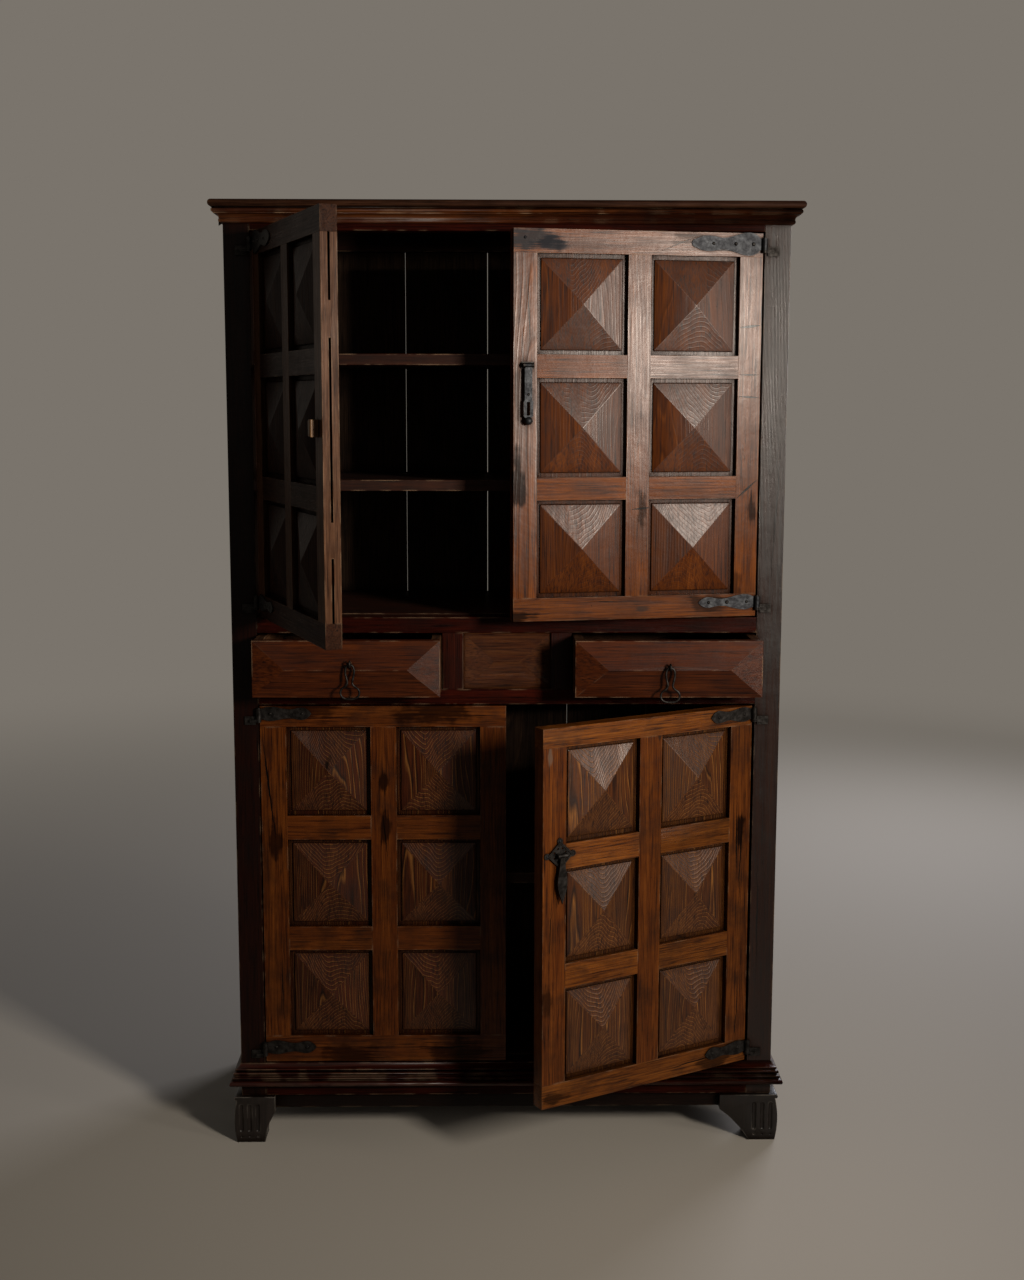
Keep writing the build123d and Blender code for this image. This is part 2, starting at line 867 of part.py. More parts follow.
def door_panel(x0, x1, z0, z1):
    """A pointed panel: tongues in the frame's grooves, a flat border, a shoulder, four slopes."""
    back = panel_recess + panel_thickness
    tongue = block(
        x0 - panel_tongue,
        x1 + panel_tongue,
        panel_recess,
        back,
        z0 - panel_tongue,
        z1 + panel_tongue,
    )
    field_x0 = x0 + panel_border
    field_x1 = x1 - panel_border
    field_z0 = z0 + panel_border
    field_z1 = z1 - panel_border
    step_y = panel_recess - panel_shoulder
    step = block(field_x0, field_x1, step_y, panel_recess, field_z0, field_z1)
    rise = step_y + panel_point
    point = hipped_field(field_x0, field_x1, field_z0, field_z1, step_y, rise, 0)
    return tongue + step + point


def strap_outline(length, bar, lobe, leaf, finger):
    """A forged strap's outline, leftwards from the hinge: lobe, waist, leaf, then finger or point."""
    root_end = hinge_x - knuckle_radius - strap_thickness
    root_half = knuckle_height / 2
    leaf_x = hinge_x - length + strap_leaf_inset + finger
    finger_half = strap_finger_width / 2
    upper = [
        (root_end, root_half),
        (hinge_x - strap_lobe_inset, lobe / 2),
        (leaf_x + strap_leaf_inset, bar / 2),
        (leaf_x, leaf / 2),
    ]
    tip = (hinge_x - length, 0)
    if finger > 0:
        upper.append((tip[0] + finger_half, finger_half))
    else:
        upper.append(tip)
    outline = Spline(*upper)
    outline = outline + mirror(outline, about=Plane.XZ)
    if finger > 0:
        outline = outline + ThreePointArc(upper[-1], tip, (upper[-1][0], -finger_half))
    upper_root = Polyline((root_end, root_half), (hinge_x, root_half), (hinge_x, 0))
    return make_face(outline + upper_root + mirror(upper_root, about=Plane.XZ))


def strap_hinge(height, outline):
    """A right door's strap: the flat plate on the door's face and the knuckle rolled at its end."""
    plate = extrude(Plane.XZ * outline, strap_thickness).moved(Location((0, 0, height)))
    knuckle = Location((hinge_x, hinge_y, height)) * Cylinder(knuckle_radius, knuckle_height)
    bore = Location((hinge_x, hinge_y, height)) * Cylinder(pin_radius + pin_clearance, knuckle_height)
    return plate + knuckle - bore


def pintle(height):
    """A right pintle: a pin and collar under the knuckle, on an arm from a plate on the post."""
    collar_top = height - knuckle_height / 2 - pintle_running_gap
    collar_bottom = collar_top - pintle_collar_height
    pin_top = height + knuckle_height / 2 + pin_end
    pin = Cylinder(pin_radius, pin_top - collar_bottom)
    pin = Location((hinge_x, hinge_y, (pin_top + collar_bottom) / 2)) * pin
    collar = Location((hinge_x, hinge_y, (collar_top + collar_bottom) / 2))
    collar = collar * Cylinder(pintle_collar_radius, pintle_collar_height)
    plate_x0 = hinge_x + knuckle_radius + pintle_plate_gap
    plate = block(
        plate_x0,
        plate_x0 + pintle_plate_width,
        -pintle_plate_thickness,
        0,
        collar_bottom - pintle_plate_margin,
        collar_top + pintle_plate_margin,
    )
    arm = block(
        hinge_x,
        plate_x0 + pintle_plate_width / 2,
        hinge_y - pin_radius,
        -pintle_plate_thickness,
        collar_bottom,
        collar_top,
    )
    return pin + collar + plate + arm


def swung(shape, side, angle):
    """A closed right-hand piece opened by an angle, or its mirror image on the left."""
    axis = Axis((side * hinge_x, hinge_y, 0), (0, 0, 1))
    placed = shape if side > 0 else mirrored(shape)
    return placed.rotate(axis, side * angle)


def edge_groove(bottom, top, end_rail):
    """The stopped groove in a door's free edge, between two uncut blocks."""
    edge_x = inner_half - door_hinge_gap - door_width
    low = bottom + end_rail
    high = top - end_rail
    middle = (bottom + top) / 2
    block_half = edge_block_height / 2
    stops = [
        (low, middle - edge_block_spread - block_half),
        (middle - edge_block_spread + block_half, middle + edge_block_spread - block_half),
        (middle + edge_block_spread + block_half, high),
    ]
    cuts = []
    centre = door_thickness / 2
    half = edge_groove_width / 2
    for start, end in stops:
        cuts.append(block(edge_x, edge_x + edge_groove_depth, centre - half, centre + half, start, end))
    return cuts


def barrel_ears(x, z, plate):
    """A plate on a door's face with two ears and the pin between them."""
    pivot_y = -barrel_standoff
    gap = barrel_length / 2 + ear_gap
    ear = Cylinder(barrel_radius, ear_thickness)
    ears = plate
    for direction in (-1, 1):
        ear_x = x + direction * (gap + ear_thickness / 2)
        ears = ears + Location((ear_x, pivot_y, z), (0, 90, 0)) * ear
        ears = ears + block(
            ear_x - ear_thickness / 2,
            ear_x + ear_thickness / 2,
            pivot_y,
            0,
            z - barrel_radius,
            z + barrel_radius,
        )
    pin = Location((x, pivot_y, z), (0, 90, 0)) * Cylinder(barrel_pin_radius, 2 * gap + ear_thickness)
    return ears + pin


def barrel(x, z):
    """The barrel that turns on the pin, as a tube."""
    place = Location((x, -barrel_standoff, z), (0, 90, 0))
    bore = Cylinder(barrel_pin_radius + pin_clearance, barrel_length)
    return place * (Cylinder(barrel_radius, barrel_length) - bore), place * bore


def hasp(x, z):
    """A hanging hasp: barrel, flat bar, slotted loop and a ball end for the fingers."""
    tube, bore = barrel(x, z)
    slot_low = -(hasp_length - hasp_ball_radius - hasp_web / 2)
    slot_middle = slot_low + hasp_slot_length / 2
    bar_top = -(barrel_radius + barrel_neck)
    bar = Rectangle(hasp_bar_width, bar_top - slot_middle).moved(Location((0, (bar_top + slot_middle) / 2)))
    neck = Rectangle(barrel_length, -slot_middle).moved(Location((0, slot_middle / 2)))
    loop = Rectangle(hasp_loop_width, hasp_slot_length + 2 * hasp_web).moved(Location((0, slot_middle)))
    loop = fillet(loop.vertices(), hasp_loop_rounding)
    slot = Rectangle(hasp_slot_width, hasp_slot_length).moved(Location((0, slot_middle)))
    plate = extrude(Plane.XZ * (bar + neck + loop - slot), hasp_thickness)
    plate = plate.moved(Location((x, -barrel_standoff + hasp_thickness / 2, z)))
    ball = Location((x, -barrel_standoff, z - hasp_length)) * Sphere(hasp_ball_radius)
    return (tube + plate - bore) + ball


def pendant(x, z):
    """A spindle-shaped drop on its barrel, widest below the middle and pointed at the end."""
    tube, bore = barrel(x, z)
    right = Spline(
        (pendant_root_width / 2, 0),
        (pendant_width / 2, -pendant_belly_drop),
        (0, -pendant_length),
        tangents=[(0, -1), (-pendant_width / 2, pendant_belly_drop - pendant_length)],
    )
    top = Line((-pendant_root_width / 2, 0), (pendant_root_width / 2, 0))
    outline = make_face(right + mirror(right, about=Plane.YZ) + top)
    plate = extrude(Plane.XZ * outline, pendant_thickness)
    plate = plate.moved(Location((x, -barrel_standoff + pendant_thickness / 2, z)))
    return tube + plate - bore


def lozenge(half_width_across, half_height):
    """A diamond outline about the origin."""
    corners = [(half_width_across, 0), (0, half_height), (-half_width_across, 0), (0, -half_height)]
    return make_face(Polyline(*corners, close=True))


def escutcheon_plate(x, z):
    """A lozenge plate with lobed corners, a raised rim and a ring of pierced holes."""
    outline = lozenge(lozenge_half_width, lozenge_half_height)
    inside = lozenge(lozenge_half_width - lozenge_rim_width, lozenge_half_height - lozenge_rim_width)
    rim = outline - inside
    for across, up in ((1, 0), (0, 1), (-1, 0), (0, -1)):
        corner = Location((across * lozenge_half_width, up * lozenge_half_height))
        outline = outline + corner * Circle(lozenge_lobe_radius)
    first_angle = 180 / pierced_hole_count
    for place in PolarLocations(pierced_hole_circle, pierced_hole_count, first_angle):
        outline = outline - place * Circle(pierced_hole_radius)
    plate = extrude(Plane.XZ * outline, ear_plate_thickness)
    rim = extrude(Plane.XZ * rim, lozenge_rim_thickness)
    return (plate + rim).moved(Location((x, 0, z)))


upper_bottom = waist_rail_top + door_end_gap
upper_top = upper_opening_top - door_end_gap
lower_bottom = base_rail_top + door_end_gap
lower_top = lower_opening_top - door_end_gap
free_edge_x = inner_half - door_hinge_gap - door_width
upper_frame = door_frame(
    upper_bottom,
    upper_top,
    upper_stile_width,
    upper_end_rail_height,
    upper_cross_rail_height,
    upper_end_rail_height,
)
lower_left_frame = door_frame(
    lower_bottom,
    lower_top,
    lower_stile_width,
    lower_left_bottom_rail_height,
    lower_cross_rail_height,
    lower_left_top_rail_height,
)
lower_right_frame = door_frame(
    lower_bottom,
    lower_top,
    lower_stile_width,
    lower_right_bottom_rail_height,
    lower_cross_rail_height,
    lower_right_top_rail_height,
)
wide_strap = strap_outline(
    wide_strap_length, wide_strap_bar, wide_strap_lobe, wide_strap_leaf, wide_strap_finger
)
slim_strap = strap_outline(slim_strap_length, slim_strap_bar, slim_strap_lobe, slim_strap_leaf, 0)
lower_strap = strap_outline(lower_strap_length, lower_strap_bar, lower_strap_lobe, lower_strap_leaf, 0)
upper_straps = {
    upper_bottom + upper_bottom_strap_rise: slim_strap,
    upper_top - upper_top_strap_drop: wide_strap,
}
lower_straps = {
    lower_bottom + lower_bottom_strap_rise: lower_strap,
    lower_top - lower_top_strap_drop: lower_strap,
}
doors = {
    "upper_left_door": (-1, upper_left_angle, upper_frame, upper_straps),
    "upper_right_door": (1, upper_right_angle, upper_frame, upper_straps),
    "lower_left_door": (-1, lower_left_angle, lower_left_frame, lower_straps),
    "lower_right_door": (1, lower_right_angle, lower_right_frame, lower_straps),
}
pieces = {}

for name, (side, angle, frame, straps) in doors.items():
    uprights, rails, panels = frame
    if name == "upper_left_door":
        groove = edge_groove(upper_bottom, upper_top, upper_end_rail_height)
        uprights = [cut_by(uprights[0], groove)] + uprights[1:]
    hinges = [strap_hinge(height, outline) for height, outline in straps.items()]
    pieces[name + "_uprights"] = solids_of(*[swung(piece, side, angle) for piece in uprights])
    pieces[name + "_rails"] = solids_of(*[swung(piece, side, angle) for piece in rails])
    pieces[name + "_panels"] = solids_of(*[swung(piece, side, angle) for piece in panels])
    pieces[name + "_straps"] = solids_of(*[swung(piece, side, angle) for piece in hinges])

hasp_x = free_edge_x + hasp_inset
hasp_plate_half = barrel_length / 2 + ear_gap + ear_thickness + ear_plate_margin
hasp_plate = block(
    hasp_x - hasp_plate_half,
    hasp_x + hasp_plate_half,
    -ear_plate_thickness,
    0,
    hasp_height - barrel_radius - ear_plate_margin,
    hasp_height + barrel_radius + ear_plate_margin,
)
pieces["hasp_staple"] = swung(barrel_ears(hasp_x, hasp_height, hasp_plate), 1, upper_right_angle)
pieces["hasp"] = swung(hasp(hasp_x, hasp_height), 1, upper_right_angle)

lozenge_x = free_edge_x + lozenge_inset
lower_end_rails_height = lower_right_bottom_rail_height + lower_right_top_rail_height
lower_rails_height = lower_end_rails_height + (panel_bays_up - 1) * lower_cross_rail_height
lower_bay = (lower_top - lower_bottom - lower_rails_height) / panel_bays_up
upper_cross_rail_top = lower_top - lower_right_top_rail_height - lower_bay
lozenge_z = upper_cross_rail_top - lower_cross_rail_height / 2 + lozenge_rise
lozenge_plate = escutcheon_plate(lozenge_x, lozenge_z)
pieces["escutcheon"] = swung(barrel_ears(lozenge_x, lozenge_z, lozenge_plate), 1, lower_right_angle)
pieces["pendant"] = swung(pendant(lozenge_x, lozenge_z), 1, lower_right_angle)

knob_middle = (upper_bottom + upper_top) / 2 + knob_drop
knob_x = free_edge_x + knob_inset
knob_solid = block(
    knob_x - knob_width / 2,
    knob_x + knob_width / 2,
    -knob_reach,
    0,
    knob_middle - knob_height / 2,
    knob_middle + knob_height / 2,
)
knob_solid = fillet(knob_solid.faces().sort_by(Axis.Y)[0].edges(), knob_rounding)
pieces["upper_left_door_knob"] = swung(knob_solid, -1, upper_left_angle)

# ---- drawers ----------------------------------------------------------------------------------

left_eye_place = Location((-left_eye_inset, 0, left_eye_rise))
drawers = {
    "left_drawer": (-1, left_drawer_out, left_eye_place),
    "right_drawer": (1, right_drawer_out, Location()),
}
for name, (side, out, eye_place) in drawers.items():
    walls = drawer_sides_and_back(bottom_board_solid)
    eye = eye_place * eye_solid
    pieces[name + "_front"] = place_drawer(drawer_front_solid - eye, side, out)
    pieces[name + "_sides"] = solids_of(*[place_drawer(wall, side, out) for wall in walls])
    pieces[name + "_bottom"] = place_drawer(bottom_board_solid, side, out)
    pieces[name + "_eye"] = place_drawer(eye, side, out)
    pieces[name + "_pull"] = place_drawer(eye_place * pull_loop(), side, out)

# ---- the case's own pieces ----------------------------------------------------------------------

pintles = []
for height in list(upper_straps) + list(lower_straps):
    pintles.extend(both_sides(pintle(height)))

shelf_tops = [lower_shelf_height, middle_shelf_height, upper_shelf_height]
battens = []
for shelf_top in shelf_tops:
    battens.extend(shelf_battens(shelf_top))

pieces["right_front_post"] = front_post_solid
pieces["left_front_post"] = mirrored(front_post_solid)
pieces["rear_posts"] = solids_of(*both_sides(rear_post_solid))
pieces["base_rail"] = base_rail_solid
pieces["bearer_rail"] = bearer_rail_solid
pieces["waist_rail"] = waist_rail_solid
pieces["frieze_rail"] = frieze_rail_solid
pieces["side_rails"] = solids_of(*side_rail_solids, *[mirrored(rail) for rail in side_rail_solids])
pieces["side_panels"] = solids_of(*side_panel_solids, *[mirrored(panel) for panel in side_panel_solids])
pieces["back_rails"] = solids_of(*back_rail_solids)
pieces["back_boards"] = solids_of(*back_boards)
pieces["drawer_muntins"] = solids_of(*both_sides(muntin_solid))
pieces["centre_panel"] = centre_panel_solid
pieces["drawer_runners"] = solids_of(*both_sides(outer_runner), *both_sides(inner_runner))
pieces["lower_floor"] = lower_floor_solid
pieces["upper_floor"] = upper_floor_solid
pieces["lower_shelf"] = shelf_board(lower_shelf_height)
pieces["middle_shelf"] = shelf_board(middle_shelf_height)
pieces["upper_shelf"] = shelf_board(upper_shelf_height)
pieces["shelf_battens"] = solids_of(*battens)
pieces["top_board"] = top_board()
pieces["cornice"] = solids_of(*mitred_lengths(cornice_profile()))
pieces["base_moulding"] = solids_of(*mitred_lengths(base_profile()))
pieces["apron"] = apron_solid
pieces["right_front_foot"] = right_foot_solid
pieces["left_front_foot"] = left_foot_solid
pieces["right_rear_foot"] = rear_foot_solid
pieces["left_rear_foot"] = mirrored(rear_foot_solid)
pieces["hinge_pintles"] = solids_of(*pintles)

os.makedirs("parts", exist_ok=True)
for name, shape in pieces.items():
    export_step(shape, "parts/" + name + ".step")
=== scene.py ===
from math import cos, radians, sin

import bmesh
import bpy
from mathutils import Matrix, Vector


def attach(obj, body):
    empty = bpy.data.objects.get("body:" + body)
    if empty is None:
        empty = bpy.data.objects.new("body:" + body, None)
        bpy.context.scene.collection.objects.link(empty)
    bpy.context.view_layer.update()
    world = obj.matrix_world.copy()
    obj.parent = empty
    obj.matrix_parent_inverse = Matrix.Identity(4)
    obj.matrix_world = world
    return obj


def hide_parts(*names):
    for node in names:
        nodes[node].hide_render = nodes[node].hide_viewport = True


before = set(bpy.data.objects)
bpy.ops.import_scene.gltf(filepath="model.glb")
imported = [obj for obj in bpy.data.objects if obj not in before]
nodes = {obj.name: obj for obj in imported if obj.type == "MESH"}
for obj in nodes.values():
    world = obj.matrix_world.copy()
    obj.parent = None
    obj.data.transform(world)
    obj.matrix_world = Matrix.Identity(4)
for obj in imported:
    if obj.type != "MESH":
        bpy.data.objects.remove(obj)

scene = bpy.context.scene
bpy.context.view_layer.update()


# ---- Front and rear posts -------------------------------------------------------------------------
# Four walnut posts, each one riven and planed timber from foot to top board. Two centuries of wax and
# smoke have turned them nearly black, redder where hands and cloths have kept them clean.

def linear(colour):
    """An sRGB hex colour as the linear RGBA that a node's socket takes."""
    channels = [int(colour[i:i + 2], 16) / 255 for i in (1, 3, 5)]
    return [c / 12.92 if c < 0.04045 else ((c + 0.055) / 1.055) ** 2.4 for c in channels] + [1.0]


def add(tree, kind, sockets=(), stops=(), **settings):
    """A node with its settings, its colour stops, and its sockets given a value or a link."""
    made = tree.nodes.new("ShaderNode" + kind)
    for name, value in settings.items():
        setattr(made, name, value)
    if stops:
        ramp = made.color_ramp.elements
        while len(ramp) < len(stops):
            ramp.new(1.0)
        for element, (place, shade) in zip(ramp, stops):
            element.position = place
            element.color = linear(shade)
    for name, value in dict(sockets).items():
        socket = made.inputs[name]
        if isinstance(value, bpy.types.NodeSocket):
            tree.links.new(value, socket)
        else:
            socket.default_value = value
    return made


def old_timber(name, grain, light, body, dark, ring=2.4, hung=(1, 0.0), pith=0.12, lean=4.0,
               pitch=None, middle=(0, 0, 0), soot=0.5, worn=0.3, sheen=0.28, gloss=0.15, figured=0.45,
               relief=0.15, rubbed_to="#a08468", polished=None, marks=(), splits=()):
    """Old timber, riven and planed by hand, its fibres dark with smoke and its wax a soft sheen.
    grain is the axis along the fibres, ring the width of a year's growth in mm, hung the side and
    opening in degrees of the door that the piece belongs to, pith how far behind the face the heart
    of the tree lay, lean its slant in degrees, and pitch and middle the spacing and the place of
    panels that are each their own board. soot, worn, gloss, figured and relief are shares: of smoke,
    of bare arrises, of wax, and of the rings' colour and height. sheen is the wax's roughness, and
    polished the two heights in metres between which dry wood turns to waxed. A mark is a place, a
    radius, a colour and a strength, and a split two points' x and z, a width and a wander."""
    wood = bpy.data.materials.new(name)
    wood.use_nodes = True
    tree = wood.node_tree
    shader = tree.nodes["Principled BSDF"]
    side, opening = hung
    turn = Matrix.Rotation(radians(-side * opening), 3, "Z")
    pin = Vector((side * hinge_x, hinge_y, 0))
    place = add(tree, "TexCoord").outputs["Object"]
    door = add(tree, "Mapping", {"Vector": place, "Location": pin - turn @ pin,
                                 "Rotation": (0, 0, radians(-side * opening))}).outputs[0]
    island = add(tree, "NewGeometry").outputs["Random Per Island"]
    lot = add(tree, "TexWhiteNoise", {"W": island}, noise_dimensions="1D")
    along = Vector((grain == "X", grain == "Y", grain == "Z"))
    scatter = Vector((0.12, 0.06, 0.12)) + along * 3.0  # where in the tree each board was cut
    board = door
    if pitch:
        half = Vector(pitch) / 2
        centred = add(tree, "VectorMath", {0: door, 1: middle}, operation="SUBTRACT").outputs[0]
        board = add(tree, "VectorMath", {0: centred, 1: half, 2: -half}, operation="WRAP").outputs[0]
    own = add(tree, "VectorMath", {0: lot.outputs["Color"], 1: scatter, 2: board},
              operation="MULTIPLY_ADD").outputs[0]
    tilt = (radians(lean), 0, radians(2)) if grain == "Z" else (0, radians(2), radians(lean))
    whole = Vector((1, 1, 1))
    squash = whole - along * 0.86  # the rings drift seven times more slowly along the fibres
    heart = add(tree, "Mapping", {"Vector": own, "Rotation": tilt, "Scale": squash,
                                  "Location": Vector((-0.06, -pith, -0.06))}).outputs[0]
    # yearly rings, cut by whatever face the piece has, so facets show them as nested lines
    rings = add(tree, "TexWave", {"Vector": heart, "Scale": 314 / ring, "Distortion": 18.0,
                                  "Detail": 1.2, "Detail Scale": 0.13, "Detail Roughness": 0.45},
                wave_type="RINGS", rings_direction=grain, wave_profile="SAW").outputs["Fac"]
    fine = add(tree, "Mapping", {"Vector": own, "Scale": whole - along * 0.965}).outputs[0]
    # fibre streaks about 3 mm wide, drawn that coarse because real ones of 0.3 mm wouldn't show
    streaks = add(tree, "TexNoise", {"Vector": fine, "Scale": 330.0, "Detail": 3.0,
                                     "Roughness": 0.65}).outputs["Fac"]
    bands = add(tree, "TexNoise", {"Vector": fine, "Scale": 55.0, "Detail": 3.0}).outputs["Fac"]
    blotch = add(tree, "TexNoise", {"Vector": own, "Scale": 14.0, "Detail": 4.0,
                                    "Roughness": 0.6}).outputs["Fac"]
    # long bands of lighter wood, a finger's breadth across, where the wax has gone
    bare = add(tree, "MapRange", {"Value": bands, "From Min": 0.4, "From Max": 0.75,
                                  "To Max": 0.8}).outputs[0]
    tone = add(tree, "Mix", {0: bare, 6: linear(body), 7: linear(light)}, data_type="RGBA").outputs[2]
    # the hard late wood of each year stands up as a thin ridge beside a dark line; its pale colour is
    # partly the wood's own and partly a painted glint of light along the ridge
    figure = add(tree, "ValToRGB", {"Fac": rings},
                 stops=((0.0, dark), (0.16, body), (0.72, body), (0.86, light), (0.97, dark)))
    ridge = add(tree, "ValToRGB", {"Fac": rings},
                stops=((0.0, "#303030"), (0.6, "#404040"), (0.86, "#ffffff"), (1.0, "#000000")))
    shade = add(tree, "Mix", {0: figured, 6: tone, 7: figure.outputs[0]}, data_type="RGBA").outputs[2]
    lines = add(tree, "ValToRGB", {"Fac": streaks},
                stops=((0.3, "#54443c"), (0.44, "#d0c6c0"), (0.62, "#ffffff"))).outputs["Color"]
    shade = add(tree, "Mix", {0: 1.0, 6: shade, 7: lines}, data_type="RGBA",
                blend_type="MULTIPLY").outputs[2]
    # long hair-fine drying checks, where the stretched noise crosses its middle value
    crossing = add(tree, "Math", {0: bands, 1: 0.5}, operation="SUBTRACT").outputs[0]
    crossing = add(tree, "Math", {0: crossing}, operation="ABSOLUTE").outputs[0]
    checks = add(tree, "MapRange", {"Value": crossing, "From Min": 0.003, "From Max": 0.014,
                                    "To Min": 0.5, "To Max": 0.0}).outputs[0]
    shade = add(tree, "Mix", {0: checks, 6: shade, 7: linear(dark)}, data_type="RGBA").outputs[2]
    # no two boards are quite as dark, and smoke lies on them in clouds
    value = add(tree, "MapRange", {"Value": lot.outputs["Value"], "To Min": 0.85, "To Max": 1.25})
    toned = add(tree, "HueSaturation", {"Color": shade, "Value": value.outputs[0]}).outputs[0]
    smoke = add(tree, "MapRange", {"Value": blotch, "From Min": 0.45, "From Max": 0.75,
                                   "To Min": 0.0, "To Max": soot}).outputs[0]
    patina = add(tree, "Mix", {0: smoke, 6: toned, 7: linear(dark)}, data_type="RGBA").outputs[2]
    # arrises rubbed bare and paler in places, where cloths and sleeves pass; on the feet the paler edge
    # is also a painted highlight
    rounded = add(tree, "Bevel", {"Radius": 0.004}, samples=4).outputs[0]
    flat = add(tree, "NewGeometry").outputs["Normal"]
    facing = add(tree, "VectorMath", {0: rounded, 1: flat}, operation="DOT_PRODUCT").outputs["Value"]
    arris = add(tree, "MapRange", {"Value": facing, "From Min": 0.995, "From Max": 0.86,
                                   "To Min": 0.0, "To Max": worn}).outputs[0]
    handled = add(tree, "TexNoise", {"Vector": door, "Scale": 26.0, "Detail": 2.0}).outputs["Fac"]
    patchy = add(tree, "MapRange", {"Value": handled, "From Min": 0.48, "From Max": 0.62}).outputs[0]
    rubbed = add(tree, "Math", {0: arris, 1: patchy}, operation="MULTIPLY").outputs[0]
    edged = add(tree, "Mix", {0: rubbed, 6: patina, 7: linear(rubbed_to)}, data_type="RGBA").outputs[2]
    # wax and soot packed into the corners, and painted shade: the colour turns near black wherever
    # a corner or recess is shut in, where shade would fall
    hollow = add(tree, "AmbientOcclusion", {"Distance": 0.025}, samples=4).outputs["AO"]
    soot_and_painted_shade = add(tree, "MapRange", {"Value": hollow, "From Min": 0.86, "From Max": 0.4,
                                    "To Min": 0.0, "To Max": 0.9}).outputs[0]
    colour = add(tree, "Mix", {0: soot_and_painted_shade, 6: edged, 7: linear("#0c0502")}, data_type="RGBA").outputs[2]
    # flight holes of woodworm, about 2 mm across, in one cell of three
    worms = add(tree, "TexVoronoi", {"Vector": own, "Scale": 34.0})
    near = add(tree, "Math", {0: worms.outputs["Distance"], 1: 0.032}, operation="LESS_THAN").outputs[0]
    chance = add(tree, "Math", {0: worms.outputs["Color"], 1: 0.35}, operation="LESS_THAN").outputs[0]
    hole = add(tree, "Math", {0: near, 1: chance}, operation="MULTIPLY").outputs[0]
    # the wax shines where a cloth reaches it, and neither in the corners nor on the stains
    waxed = add(tree, "MapRange", {"Value": hollow, "From Min": 0.55, "From Max": 0.9,
                                   "To Min": gloss * 0.15, "To Max": gloss}).outputs[0]
    if polished:
        height = add(tree, "SeparateXYZ", {0: door}).outputs["Z"]
        risen = add(tree, "MapRange", {"Value": height, "From Min": polished[0],
                                       "From Max": polished[1], "To Min": 0.2}).outputs[0]
        waxed = add(tree, "Math", {0: waxed, 1: risen}, operation="MULTIPLY").outputs[0]
    for where, size, hue, strength in marks:
        # a knot, a burn, an iron stain or a dark cloud on a rail, drawn out along the fibres and frayed
        # by them
        away = add(tree, "VectorMath", {0: door, 1: where}, operation="SUBTRACT").outputs[0]
        drawn = add(tree, "VectorMath", {0: away, 1: whole - along * 0.65},
                    operation="MULTIPLY").outputs[0]
        apart = add(tree, "VectorMath", {0: drawn}, operation="LENGTH").outputs["Value"]
        frayed = add(tree, "Math", {0: streaks, 1: size * 1.4, 2: apart}, operation="MULTIPLY_ADD")
        ragged = add(tree, "Math", {0: handled, 1: size * 1.8, 2: frayed.outputs[0]},
                     operation="MULTIPLY_ADD").outputs[0]
        mask = add(tree, "MapRange", {"Value": ragged, "From Min": size * 2.6,
                                      "From Max": size * 2.2, "To Max": strength}).outputs[0]
        colour = add(tree, "Mix", {0: mask, 6: colour, 7: linear(hue)}, data_type="RGBA").outputs[2]
        kept = add(tree, "Math", {0: mask, 1: -0.75, 2: 1.0}, operation="MULTIPLY_ADD").outputs[0]
        waxed = add(tree, "Math", {0: waxed, 1: kept}, operation="MULTIPLY").outputs[0]
    for x0, z0, x1, z1, width, wander in splits:
        # a shake or a joint from one point of the face to another, wandering off its line
        run = Vector((x1 - x0, 0, z1 - z0))
        length = run.length
        ahead = run / length
        beside = Vector((-ahead.z, 0, ahead.x))
        start = Vector((x0, 0, z0))
        off = add(tree, "VectorMath", {0: door, 1: beside}, operation="DOT_PRODUCT").outputs["Value"]
        wavy = add(tree, "Math", {0: blotch, 1: wander, 2: off}, operation="MULTIPLY_ADD").outputs[0]
        gone = add(tree, "Math", {0: wavy, 1: start.dot(beside) + wander / 2}, operation="SUBTRACT")
        apart = add(tree, "Math", {0: gone.outputs[0]}, operation="ABSOLUTE").outputs[0]
        far = add(tree, "VectorMath", {0: door, 1: ahead}, operation="DOT_PRODUCT").outputs["Value"]
        past = add(tree, "Math", {0: far, 1: start.dot(ahead) + length / 2}, operation="SUBTRACT")
        past = add(tree, "Math", {0: past.outputs[0]}, operation="ABSOLUTE").outputs[0]
        full = min(length / 2, wander * 8) * 0.2  # past this from its middle, it starts to close
        opened = add(tree, "MapRange", {"Value": past, "From Min": full, "From Max": length / 2,
                                        "To Min": width, "To Max": 0.0}).outputs[0]
        crack = add(tree, "Math", {0: apart, 1: opened}, operation="LESS_THAN").outputs[0]
        hole = add(tree, "Math", {0: hole, 1: crack}, operation="MAXIMUM").outputs[0]
    colour = add(tree, "Mix", {0: hole, 6: colour, 7: linear("#060302")}, data_type="RGBA").outputs[2]
    tree.links.new(colour, shader.inputs["Base Color"])
    # the wax lies smooth over the fibres and duller under the smoke
    rough = add(tree, "MapRange", {"Value": streaks, "From Min": 0.3, "From Max": 0.7,
                                   "To Min": sheen + 0.07, "To Max": sheen - 0.03}).outputs[0]
    dull = add(tree, "Math", {0: smoke, 1: 0.15, 2: rough}, operation="MULTIPLY_ADD").outputs[0]
    tree.links.new(dull, shader.inputs["Roughness"])
    # the plane left long shallow hollows, and the rings stand a little above them
    fibres = add(tree, "Math", {0: streaks, 1: 0.1}, operation="MULTIPLY").outputs[0]
    grainy = add(tree, "Math", {0: ridge.outputs[0], 1: relief, 2: fibres},
                 operation="MULTIPLY_ADD").outputs[0]
    planed = add(tree, "Math", {0: bands, 1: 0.7, 2: grainy}, operation="MULTIPLY_ADD").outputs[0]
    planed = add(tree, "Math", {0: blotch, 1: 1.3, 2: planed}, operation="MULTIPLY_ADD").outputs[0]
